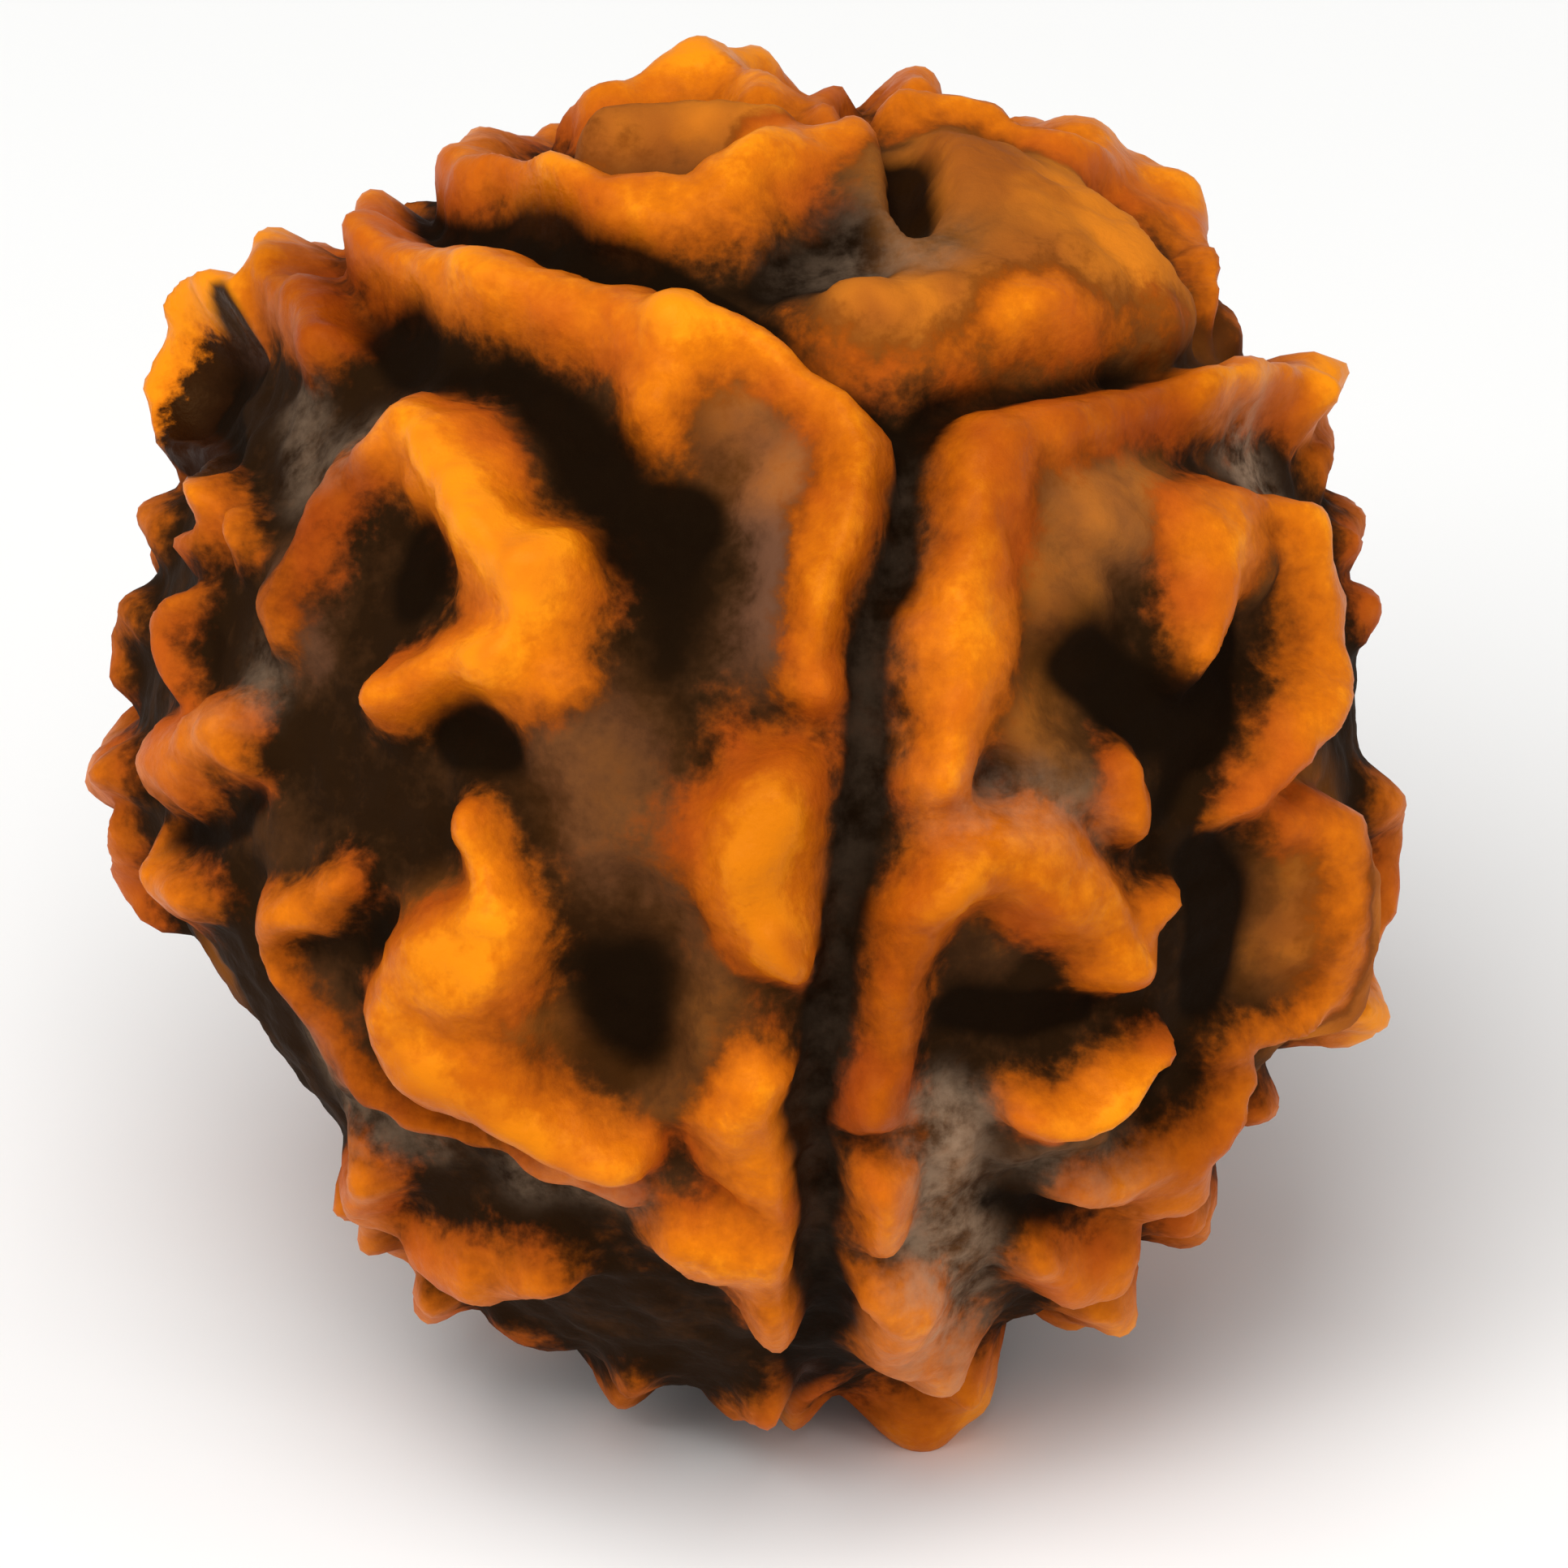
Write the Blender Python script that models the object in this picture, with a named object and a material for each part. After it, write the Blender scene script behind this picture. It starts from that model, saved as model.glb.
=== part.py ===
"""A rudraksha bead: the deeply wrinkled stone of one Elaeocarpus fruit, in one piece, lying on a surface.

The stone is a near-round body that three seams divide from pole to pole. Between the seams its skin stands
up in rounded ridges, lobes and knobs round black hollows. It is undrilled, and its seams just meet at the
poles.

Two frames are used. In the front frame x is across, y is away from the viewer and z is up, all from the
stone's middle. The part frame is the front frame leaned over by TILT_DEG, so that the stone lies on its
three feet. A place on the side that faces the viewer is written (across, up, half width), in millimetres,
as it is seen from the front. A place at the edge of that view is written (clock, away, half width), where
clock is in degrees from the right-hand side, anticlockwise. The far side is grown from a seed by a rule that
lays the same kind of ridges.
"""

import math

import bmesh
import bpy
import numpy as np

MM = 0.001

# Driving dimensions, in millimetres and degrees
BODY_SEMI_AXES = (9.15, 9.1, 9.2)
MEAN_RADIUS = 9.6
CREST_HEIGHT = 1.0
FRONT_DEPTH = 10.0
SEAM_POLE = (2.65, 4.75)
SEAM_DEPTH = 0.55

# How the stone lies: its lean, its middle over the ground, and what its feet and its other ridges reach
TILT_DEG = 30.0
REST_DROP = 10.1
GROUND_GAP = 0.3
FOOT_EXCESS = 0.15

# Softness of the relief: how much wider than written each kind of line is laid, and how its parts blend
RIDGE_SPREAD = 1.2
SHELF_SPREAD = 0.9
HOLLOW_SPREAD = 1.25
GROOVE_SPREAD = 1.1
BLEND = 4
JOIN = 8.0

# Unevenness: wavelength and amount of each bend put into the lines, and how much their width wavers
WARPS = ((2.6, 0.16), (1.1, 0.035))
WAVER = 0.1
NOISE_SEED = 3
FAR_SIDE_SEED = 2

# Fineness of the mesh
FACE_CELLS = 110
EVENING_ROUNDS = 2
MOST_TRIANGLES = 11400

STONE_COLOUR = (0.42, 0.13, 0.018, 1)
STONE_ROUGHNESS = 0.45

# Broad swells of the body: (across, away, up) of the middle, height, spread
SWELLS = (
    ((-5.6, 0.0, -4.4), -1.2, 2.9),
    ((-5.2, 3.5, -4.4), -0.8, 2.8),
    ((8.0, 0.0, -4.6), -0.3, 1.6),
    ((0.2, 0.0, -9.9), 0.35, 4.5),
    ((5.0, 0.0, 8.0), 0.45, 3.5),
    ((-8.0, 0.0, 6.2), 0.25, 2.5),
)

# Ridges, lobes and knobs that face the viewer: height, then the line of the crest
RIDGES = {
    "brow": (1.35, (-4.7, 8.95, 0.4), (-4.0, 8.9, 0.5), (-3.2, 8.75, 0.6), (-2.4, 8.55, 0.7),
             (-1.5, 8.35, 0.76), (-0.7, 8.35, 0.78), (0.1, 8.65, 0.75), (0.8, 9.15, 0.65),
             (1.45, 9.6, 0.5)),
    "cap": (1.3, (-2.2, 9.85, 0.6), (-1.4, 10.1, 0.7), (-0.5, 10.2, 0.75), (0.2, 10.0, 0.6)),
    "top_tooth": (1.05, (1.15, 9.8, 0.35), (1.2, 10.1, 0.35)),
    "shoulder": (1.2, (2.35, 9.9, 0.4), (3.3, 9.75, 0.45), (4.3, 9.45, 0.45), (5.3, 9.1, 0.45),
                 (6.35, 8.65, 0.4), (7.0, 7.95, 0.4), (7.15, 7.2, 0.4)),
    "block_lip": (0.6, (0.7, 6.9, 0.5), (1.2, 6.4, 0.55), (1.9, 5.95, 0.6), (2.6, 5.7, 0.6),
                  (3.2, 5.95, 0.55), (4.0, 6.35, 0.6), (4.8, 6.6, 0.6), (5.6, 6.6, 0.5), (6.4, 6.75, 0.45)),
    "block_lump": (1.2, (4.0, 6.6, 0.6), (4.7, 6.75, 0.65)),
    "long_lip": (1.35, (-5.8, 7.95, 0.62), (-5.1, 7.5, 0.68), (-4.1, 7.1, 0.7), (-2.9, 6.75, 0.7),
                 (-1.6, 6.35, 0.7), (-0.6, 6.0, 0.7), (0.4, 5.65, 0.65), (1.15, 5.15, 0.65),
                 (1.5, 4.4, 0.65), (1.4, 3.4, 0.65), (1.15, 2.3, 0.62), (1.0, 1.5, 0.55), (0.95, 1.0, 0.4)),
    "lip_branch": (1.3, (-0.9, 6.1, 0.8), (-1.05, 5.7, 0.85), (-1.3, 5.45, 0.7)),
    "corner_knob": (1.3, (-7.25, 7.5, 0.6), (-7.0, 6.95, 0.64), (-6.6, 6.4, 0.5)),
    "leaf": (1.4, (-8.3, 7.2, 0.28), (-8.95, 6.5, 0.3), (-9.2, 5.6, 0.3), (-9.0, 4.7, 0.3),
             (-8.5, 4.1, 0.35)),
    "left_tooth": (0.95, (-8.7, 3.5, 0.35), (-9.0, 3.4, 0.3)),
    "left_lump": (1.1, (-8.3, 3.9, 0.4), (-8.2, 3.2, 0.45)),
    "ring_left": (0.85, (-6.3, 4.3, 0.6), (-6.8, 3.5, 0.55), (-7.0, 2.6, 0.55), (-7.4, 2.0, 0.6)),
    "crown": (1.35, (-6.0, 4.4, 0.6), (-5.3, 5.0, 0.75), (-4.7, 4.4, 0.7), (-4.1, 3.8, 0.7)),
    "star": (1.5, (-4.1, 3.7, 0.7), (-3.6, 2.8, 0.95), (-3.5, 2.0, 0.95), (-3.7, 1.3, 0.7)),
    "star_lobe": (1.6, (-3.4, 2.9, 0.8), (-2.8, 2.95, 0.75)),
    "star_arm": (1.35, (-3.7, 1.4, 0.7), (-4.4, 1.2, 0.6), (-4.9, 1.0, 0.5), (-5.3, 0.9, 0.5)),
    "star_root": (1.05, (-3.2, 1.6, 0.7), (-2.9, 0.9, 0.6)),
    "side_lobe": (0.95, (-8.9, 2.2, 0.35), (-9.3, 1.7, 0.45), (-9.0, 1.1, 0.4)),
    "side_lump": (1.1, (-8.1, 0.15, 0.6), (-8.8, 0.1, 0.75), (-9.3, -0.2, 0.7)),
    "side_bump": (1.0, (-7.95, -0.3, 0.4), (-7.9, -0.6, 0.4)),
    "low_lobe": (1.05, (-9.3, -1.6, 0.5), (-9.1, -2.1, 0.6), (-8.6, -2.4, 0.55)),
    "hook": (1.05, (-6.2, -2.05, 0.3), (-6.9, -2.25, 0.35), (-7.25, -2.8, 0.4), (-6.9, -3.35, 0.4)),
    "arrow_tip": (1.35, (-4.3, -1.1, 0.35), (-4.0, -1.8, 0.55), (-3.6, -2.4, 0.75)),
    "arrow": (1.4, (-3.6, -2.4, 0.75), (-4.1, -3.2, 0.95), (-4.95, -3.8, 0.9), (-4.3, -4.6, 0.85),
              (-3.5, -5.3, 0.65), (-2.4, -5.95, 0.5), (-1.7, -6.3, 0.4)),
    "outer_lip": (0.9, (-7.0, -3.3, 0.35), (-6.3, -4.0, 0.4), (-5.5, -4.9, 0.42), (-4.4, -5.8, 0.4),
                  (-3.2, -6.4, 0.4), (-2.0, -6.8, 0.4)),
    "drop": (1.55, (0.12, -0.75, 0.92), (0.12, -1.2, 1.15), (0.2, -1.9, 1.1), (0.4, -2.7, 0.85),
             (0.55, -3.3, 0.5)),
    "lower_lump": (1.2, (0.0, -5.5, 0.85), (0.1, -6.2, 0.9), (0.35, -6.8, 0.7)),
    "lower_pad": (1.25, (-1.0, -7.7, 0.7), (-0.4, -8.0, 1.0), (0.3, -8.0, 0.9)),
    "lower_tail": (1.05, (0.3, -8.5, 0.65), (0.4, -9.2, 0.6)),
    "left_neck": (0.6, (-5.8, -5.5, 0.4), (-5.5, -6.2, 0.5)),
    "left_knob": (1.05, (-5.5, -6.4, 0.55), (-5.7, -6.9, 0.75)),
    "left_pad": (1.05, (-4.9, -7.9, 0.75), (-4.4, -8.1, 0.7)),
    "left_bump": (0.95, (-3.5, -8.3, 0.7), (-3.0, -8.3, 0.6)),
    "right_lip_top": (1.05, (3.6, 4.7, 0.75), (4.6, 4.95, 0.75), (5.6, 5.15, 0.65), (6.6, 5.35, 0.55)),
    "right_lip": (1.25, (3.5, 4.6, 0.5), (3.65, 3.6, 0.6), (3.45, 2.5, 0.75), (3.3, 1.4, 0.85),
                  (3.15, 0.5, 0.8), (2.9, -0.2, 0.6)),
    "spur": (1.35, (6.8, 5.5, 0.5), (7.8, 5.7, 0.45), (8.6, 5.75, 0.4)),
    "pale_ridge": (1.0, (7.3, 4.0, 0.5), (8.0, 3.6, 0.5), (8.7, 3.3, 0.4)),
    "heart": (1.15, (7.3, 3.6, 0.8), (7.1, 2.9, 0.95), (7.05, 2.1, 0.7), (7.0, 1.3, 0.35)),
    "right_band": (1.2, (8.4, 3.2, 0.85), (8.75, 2.4, 0.95), (8.95, 1.6, 0.8), (8.75, 0.8, 0.65),
                   (8.25, -0.1, 0.6), (7.7, -0.9, 0.5), (7.45, -1.15, 0.4)),
    "right_bump": (1.05, (5.7, -0.15, 0.45), (5.85, -1.0, 0.5)),
    "crescent": (1.35, (2.7, -2.5, 0.7), (3.1, -1.95, 0.75), (3.9, -1.75, 0.78), (4.7, -2.0, 0.78),
                 (5.35, -2.6, 0.75), (5.6, -3.15, 0.62)),
    "crescent_tip": (1.2, (6.0, -2.5, 0.4), (6.35, -2.35, 0.35)),
    "limb": (1.0, (2.6, -2.7, 0.65), (2.45, -3.6, 0.65), (2.3, -4.7, 0.6), (2.0, -5.8, 0.5)),
    "beak": (1.4, (4.0, -5.55, 0.4), (4.7, -5.65, 0.5), (5.6, -5.2, 0.48), (6.3, -4.5, 0.35)),
    "low_wall": (1.1, (7.4, -4.7, 0.45), (7.4, -5.4, 0.5), (6.9, -6.2, 0.6), (6.0, -6.5, 0.5)),
    "right_shelf": (1.1, (5.2, -6.85, 0.5), (6.0, -6.8, 0.65), (6.5, -6.9, 0.65)),
    "low_pad": (1.15, (4.6, -8.1, 0.6), (5.3, -8.2, 0.85), (5.7, -7.9, 0.65)),
    "small_oval": (1.15, (2.05, -6.8, 0.5), (2.2, -7.5, 0.55)),
    "leg": (1.15, (2.15, -8.4, 0.6), (2.45, -9.1, 0.8), (2.8, -9.8, 0.95)),
    "ear_brow": (1.05, (8.3, -1.4, 0.5), (8.9, -1.1, 0.45), (9.3, -0.9, 0.4)),
    "ear_edge": (1.0, (8.7, -1.6, 0.4), (8.75, -2.6, 0.4), (8.6, -3.5, 0.4), (8.1, -4.2, 0.45),
                 (7.4, -4.4, 0.4)),
}

# Raised floors between the ridges: height, then the middle line
SHELVES = {
    "block": (1.4, (2.6, 9.0, 2.0), (3.8, 8.7, 3.0), (5.0, 8.1, 3.0), (5.8, 7.5, 2.2)),
    "block_front": (1.35, (1.7, 6.9, 1.0), (2.5, 6.7, 1.4), (3.5, 7.1, 1.7), (4.8, 7.3, 1.7)),
    "saddle": (1.55, (-2.1, 9.3, 0.9), (-1.0, 9.4, 1.1), (0.3, 9.5, 1.0)),
    "mauve_slope": (0.75, (0.7, 4.6, 1.0), (0.5, 3.6, 1.1), (0.45, 2.3, 1.0), (0.5, 1.4, 0.8)),
    "mauve_mound": (0.55, (-3.9, 5.0, 0.7), (-3.4, 4.6, 0.7)),
    "middle": (0.7, (-2.6, 0.3, 1.3), (-1.9, -0.9, 1.4), (-1.0, -1.9, 1.2)),
    "star_side": (0.6, (-7.4, 2.7, 1.0), (-7.0, 1.7, 0.8)),
    "left_slope": (0.6, (-6.7, -3.4, 0.6), (-5.9, -4.4, 0.7), (-5.2, -5.2, 0.6)),
    "lower_left": (0.6, (-1.7, -6.9, 0.8), (-0.9, -7.1, 0.8)),
    "tan": (0.95, (5.2, 3.4, 0.8), (6.0, 3.3, 0.7)),
    "ochre": (0.75, (3.6, 1.2, 0.9), (4.2, 0.3, 1.0), (4.9, -0.7, 0.9)),
    "brown": (0.7, (4.2, 2.9, 0.9), (4.7, 2.4, 1.0), (5.2, 2.5, 0.8)),
    "dusty": (0.5, (3.0, -6.2, 0.9), (3.2, -7.6, 0.9), (3.3, -9.0, 0.8)),
    "beak_root": (0.8, (4.6, -6.2, 0.8), (5.6, -5.9, 0.7)),
    "ear": (1.5, (8.95, -1.6, 1.3), (9.05, -2.6, 1.5), (8.9, -3.7, 1.3)),
    "band_fill": (0.9, (7.8, 3.0, 0.8), (7.9, 2.5, 0.7)),
    "left_edge": (0.35, (-8.0, -1.0, 0.9), (-7.4, -1.8, 0.8)),
    "arrow_body": (1.1, (-4.2, -2.6, 0.9), (-4.5, -3.5, 1.2), (-3.9, -4.5, 1.0)),
    "bowl_rim": (0.65, (-0.6, -2.6, 0.8), (-0.5, -3.8, 0.8), (-0.7, -5.0, 0.8), (-1.4, -5.7, 0.7)),
    "right_fill": (0.8, (4.5, 4.1, 1.2), (5.4, 3.8, 1.3), (6.3, 3.9, 1.2)),
    "nose_fill": (0.9, (-0.2, 5.2, 0.8), (-1.2, 5.5, 0.9), (-1.9, 5.9, 0.7)),
    "arch_floor": (0.6, (3.4, -2.8, 0.6), (4.0, -3.2, 0.7)),
}

# Hollows and pits that face the viewer: depth, then the middle line
HOLLOWS = {
    "brow_shadow": (0.6, (-0.6, 7.3, 0.45), (0.4, 7.6, 0.4), (1.0, 8.1, 0.3)),
    "top_notch": (0.7, (1.75, 10.1, 0.25), (1.8, 9.6, 0.25)),
    "block_pit": (1.6, (2.25, 9.5, 0.38), (2.45, 9.0, 0.5), (2.7, 8.4, 0.42)),
    "block_dimple": (0.85, (6.05, 8.2, 0.36), (6.35, 7.65, 0.42)),
    "corner_gap": (0.8, (-6.2, 7.2, 0.3), (-5.75, 6.4, 0.5)),
    "leaf_hollow": (1.9, (-7.98, 6.56, 0.42), (-8.5, 5.9, 0.7), (-8.78, 5.4, 0.85), (-8.9, 4.95, 0.7),
                    (-8.65, 4.5, 0.4)),
    "upper_valley": (0.3, (-4.6, 6.0, 0.5), (-3.8, 5.8, 0.55), (-2.8, 5.1, 0.8), (-2.0, 4.6, 0.7)),
    "basin": (0.8, (-1.15, 3.9, 0.8), (-1.3, 3.1, 0.78)),
    "basin_low": (0.75, (-1.2, 2.3, 0.75), (-1.25, 1.5, 0.7)),
    "star_eye": (1.2, (-5.2, 3.3, 0.5), (-5.35, 2.7, 0.55), (-5.5, 2.2, 0.45)),
    "star_pit": (1.35, (-4.7, 0.1, 0.5), (-4.1, 0.25, 0.65)),
    "side_dimple": (0.6, (-8.75, 1.85, 0.3), (-8.75, 1.5, 0.35)),
    "mouth": (1.1, (-9.3, -1.3, 0.25), (-8.6, -1.15, 0.28), (-7.9, -0.9, 0.25)),
    "grey_basin": (0.2, (-6.9, 0.6, 0.7), (-6.4, -0.7, 0.9), (-5.3, -1.3, 0.8)),
    "grey_corner": (0.45, (-5.0, -0.9, 0.4), (-4.95, -1.5, 0.45)),
    "hook_pit": (1.1, (-6.1, -2.95, 0.38), (-5.4, -2.65, 0.45)),
    "bowl": (1.0, (-1.95, -3.6, 0.9), (-2.0, -4.4, 0.92)),
    "low_band": (0.45, (-4.4, -6.5, 0.5), (-3.6, -7.2, 0.6), (-2.5, -7.8, 0.55), (-1.6, -8.6, 0.5),
                 (-0.7, -9.2, 0.45)),
    "seam_spur": (0.35, (0.1, 0.35, 0.35), (1.2, 0.3, 0.35)),
    "heart_pit": (1.4, (7.85, 1.6, 0.45), (7.6, 0.9, 0.6), (7.3, 0.2, 0.5)),
    "band_pit": (1.0, (6.95, -0.3, 0.4), (6.75, -0.8, 0.4)),
    "right_basin": (0.6, (5.3, 1.4, 0.6), (5.9, 0.9, 0.7), (6.5, 0.6, 0.6)),
    "pinhole": (0.9, (3.85, -0.45, 0.36), (4.05, -0.5, 0.36)),
    "olive_gap": (0.5, (6.4, -1.0, 0.35), (6.6, -1.7, 0.4)),
    "crescent_eye": (0.35, (3.6, -3.0, 0.5), (3.9, -3.6, 0.6)),
    "crescent_slit": (1.3, (3.6, -4.2, 0.45), (4.4, -4.35, 0.55), (5.3, -4.1, 0.4)),
    "beak_slit": (1.2, (6.9, -4.85, 0.3), (6.4, -5.4, 0.45), (5.8, -5.95, 0.35)),
    "low_slit": (1.1, (4.0, -7.4, 0.3), (4.9, -7.55, 0.35), (5.4, -7.45, 0.3)),
    "ear_basin": (1.4, (7.35, -1.9, 0.6), (7.6, -2.8, 0.75), (7.5, -3.6, 0.6)),
    "ear_slit": (0.7, (8.9, -0.35, 0.22), (9.5, -0.6, 0.22)),
    "pole_pit": (0.5, (2.65, 3.7, 0.14), (2.62, 3.35, 0.16)),
    "under_brow": (1.2, (-4.4, 8.35, 0.26), (-3.4, 8.05, 0.36), (-2.4, 7.7, 0.4), (-1.4, 7.45, 0.34)),
}

# Ridges at the edge of the front view: height, then (clock, away, half width)
EDGE_RIDGES = {
    "right_ledge": (0.85, (13.0, -0.8, 0.5), (13.5, 1.0, 0.45), (15, 3.0, 0.5)),
    "right_tooth": (1.0, (20, -1.0, 0.35), (19.5, 0.0, 0.4), (24, 1.6, 0.45)),
    "right_lobe": (0.95, (26.5, -1.2, 0.45), (27.5, 0.5, 0.45), (32, 2.4, 0.5)),
    "spur_tip": (1.85, (32.0, -2.0, 0.45), (31.2, -0.3, 0.48), (33, 1.6, 0.45)),
    "shoulder_back": (1.35, (52.0, -0.5, 0.8), (53.0, 1.2, 0.9), (54, 3.4, 0.7)),
    "shoulder_top": (1.35, (62, -0.2, 0.9), (66, 1.6, 0.9), (60, 3.4, 0.7)),
    "shoulder_end": (1.3, (75, -0.6, 0.6), (76, 1.0, 0.6), (74, 3.0, 0.5)),
    "tooth_back": (1.0, (82.5, -1.2, 0.32), (83, 0.4, 0.34), (85, 2.2, 0.45)),
    "cap_back": (1.6, (97, -0.8, 0.6), (92, 0.2, 0.7), (90, 2.0, 0.7), (96, 3.6, 0.6)),
    "cap_side": (1.1, (104, -0.8, 0.6), (103, 0.8, 0.7)),
    "brow_back": (1.2, (115.5, -1.4, 0.45), (113, 0.2, 0.65), (108.5, 2.2, 0.65)),
    "lobe_back": (1.2, (125, -2.0, 0.55), (124, -0.2, 0.6), (126, 2.0, 0.55)),
    "knob_back": (1.3, (134, -1.6, 0.55), (133.5, 0.0, 0.5), (131, 1.8, 0.5)),
    "leaf_back": (2.0, (138.5, -1.2, 0.4), (141.5, 0.2, 0.42), (146, 0.5, 0.42), (149.5, 0.2, 0.28)),
    "left_small": (0.85, (159.5, -1.0, 0.42), (158, 0.6, 0.45), (162, 2.2, 0.5)),
    "leg_side": (1.75, (289.5, 0.2, 0.55), (289, 1.4, 0.6)),
    "left_lobe": (0.75, (167, -1.0, 0.45), (170.5, 0.2, 0.45), (174, -0.2, 0.4)),
    "left_bulge": (1.1, (182, -1.6, 0.55), (183, 0.2, 0.6), (180, 2.2, 0.6)),
    "left_cheek": (1.05, (189, -1.0, 0.5), (191.5, 0.4, 0.5), (194, -0.2, 0.36)),
    "knob_edge": (1.15, (229, -1.0, 0.5), (231, 0.4, 0.55), (234, 2.0, 0.5)),
    "pad_edge": (1.15, (239, -1.2, 0.55), (240.5, 0.4, 0.52), (238, 2.4, 0.5)),
    "bump_edge": (0.55, (248, -1.2, 0.5), (248, 0.6, 0.45)),
    "spike": (0.9, (259.5, -1.6, 0.48), (260, 0.2, 0.48), (259, 2.2, 0.5)),
    "front_foot": (1.3, (272, -1.6, 0.55), (272.5, 0.2, 0.75), (272, 1.6, 0.6)),
    "pad_back": (1.4, (302.5, -1.4, 0.6), (303.5, 0.4, 0.7), (300, 2.2, 0.6)),
    "shelf_back": (1.05, (313, -1.4, 0.5), (314, 0.4, 0.55), (312, 2.4, 0.5)),
    "wall_knob": (1.0, (325, -1.2, 0.4), (325, 0.2, 0.42)),
    "ear_lower": (1.6, (336.5, -1.2, 0.55), (336.3, 0.4, 0.62), (335, 2.2, 0.5)),
    "ear_outer": (1.05, (340, 0.2, 0.5), (347, 0.2, 0.55), (353.5, 0.2, 0.5), (354, -1.2, 0.4)),
    "shoulder_mid": (1.2, (59.0, -0.3, 0.7), (59.0, 1.2, 0.8), (57, 3.4, 0.6)),
    "neck": (0.55, (42.0, -1.0, 0.7), (43.5, 0.8, 0.7)),
}

# Seams from the near pole over the front, where each then runs on to the far pole
SEAMS = {
    "down": ((2.6, 4.1, 0.33), (2.5, 2.8, 0.3), (2.1, 1.5, 0.33), (1.8, 0.3, 0.36), (1.8, -1.0, 0.36),
             (1.8, -2.0, 0.36), (1.5, -3.2, 0.42), (1.05, -4.1, 0.46), (0.95, -5.1, 0.46), (1.0, -6.0, 0.42),
             (1.05, -7.2, 0.42), (1.2, -8.4, 0.45), (1.35, -9.4, 0.5)),
    "upper_left": ((1.7, 5.5, 0.2), (0.9, 6.05, 0.2), (0.3, 6.6, 0.22), (-0.6, 7.2, 0.36),
                   (-1.8, 7.65, 0.4), (-2.8, 8.0, 0.42), (-3.8, 8.3, 0.4), (-4.7, 8.4, 0.3),
                   (-5.6, 8.9, 0.25)),
    "upper_right": ((3.4, 5.4, 0.26), (4.5, 5.75, 0.22), (5.6, 5.95, 0.22), (6.4, 6.15, 0.18),
                    (7.2, 6.6, 0.1)),
}

# Phase of the slow wander of each seam over the far side
SEAM_PHASES = {"down": 0.3, "upper_left": 2.0, "upper_right": 4.1}

# Feet, in the part frame: (across, away) of the point of rest from the middle, half width
FEET = ((2.8, -4.1, 1.15), (0.5, 3.4, 0.9), (-3.2, -0.4, 0.85))


def unit(vector):
    """The vector, or each row of an array, at length one."""
    vector = np.asarray(vector, float)
    return vector / np.linalg.norm(vector, axis=-1, keepdims=True)


def lean(points, degrees):
    """Points turned about the across axis, by TILT_DEG from the front frame to the part frame."""
    c, s = math.cos(math.radians(degrees)), math.sin(math.radians(degrees))
    x, y, z = np.moveaxis(np.asarray(points, float), -1, 0)
    return np.stack([x, y * c + z * s, z * c - y * s], axis=-1)


def smooth(share):
    """An easy step from 0 to 1."""
    share = np.clip(share, 0, 1)
    return share * share * (3 - 2 * share)


def body_radius(directions):
    """Radius of the bare body, before its ridges, along unit directions of the front frame."""
    radius = 1 / np.sqrt(((directions / BODY_SEMI_AXES) ** 2).sum(axis=-1))
    for middle, height, spread in SWELLS:
        gap = np.linalg.norm(directions - unit(middle), axis=-1) * MEAN_RADIUS
        radius = radius + height * np.exp(-((gap / spread) ** 2))
    return radius


def rounded_line(points, steps=3):
    """The points of a line with a smooth curve drawn through them."""
    points = np.asarray(points, float)
    ends = np.vstack([2 * points[0] - points[1], points, 2 * points[-1] - points[-2]])
    line = []
    for a, b, c, d in zip(ends[:-3], ends[1:-2], ends[2:-1], ends[3:]):
        for t in np.arange(steps) / steps:
            line.append(b + t * (c - a) / 2 + t**2 * (2 * a - 5 * b + 4 * c - d) / 2
                        + t**3 * (3 * b - a - 3 * c + d) / 2)
    return np.vstack([line, points[-1]])


def front_direction(across, up):
    """Direction of the place that is seen from the front at (across, up)."""
    rim = float(body_radius(unit((across, 0, up)))) + CREST_HEIGHT
    share = min(math.hypot(across, up) / rim, 1.0)
    return unit((across, -FRONT_DEPTH * math.sqrt(1 - share**2), up))


def front_line(points):
    """Directions and half widths of a line given as (across, up, half width)."""
    line = rounded_line(points)
    return np.array([front_direction(across, up) for across, up, _ in line]), line[:, 2]


def edge_line(points):
    """Directions and half widths of a line given as (clock, away, half width)."""
    line = rounded_line(points)
    clock, away = np.radians(line[:, 0]), line[:, 1]
    out = np.sqrt(MEAN_RADIUS**2 - away**2)
    return unit(np.stack([np.cos(clock) * out, away, np.sin(clock) * out], axis=-1)), line[:, 2]


def gap_to_line(directions, start, end):
    """Distance over the body from directions to one stretch of a line, and how far along it that is."""
    from_start = (directions - start) * MEAN_RADIUS
    stretch = (end - start) * MEAN_RADIUS
    along = np.clip(from_start @ stretch / max(stretch @ stretch, 1e-12), 0, 1)
    return np.linalg.norm(from_start - along[:, None] * stretch, axis=1), along


def crest(share):
    """Section of a ridge: a rounded crest of half width 1 on a skirt that spreads to twice that."""
    bank = np.clip(share, 0, 1)
    skirt = np.clip(share / 2.0, 0, 1)
    return 0.54 * (1 - bank**2.2) ** 1.5 + 0.46 * (1 - skirt**2) ** 2


def dip(share):
    """Section of a hollow or a seam: a flat-bottomed trough."""
    return (1 - np.clip(share, 0, 1) ** 2.6) ** 1.6


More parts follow.
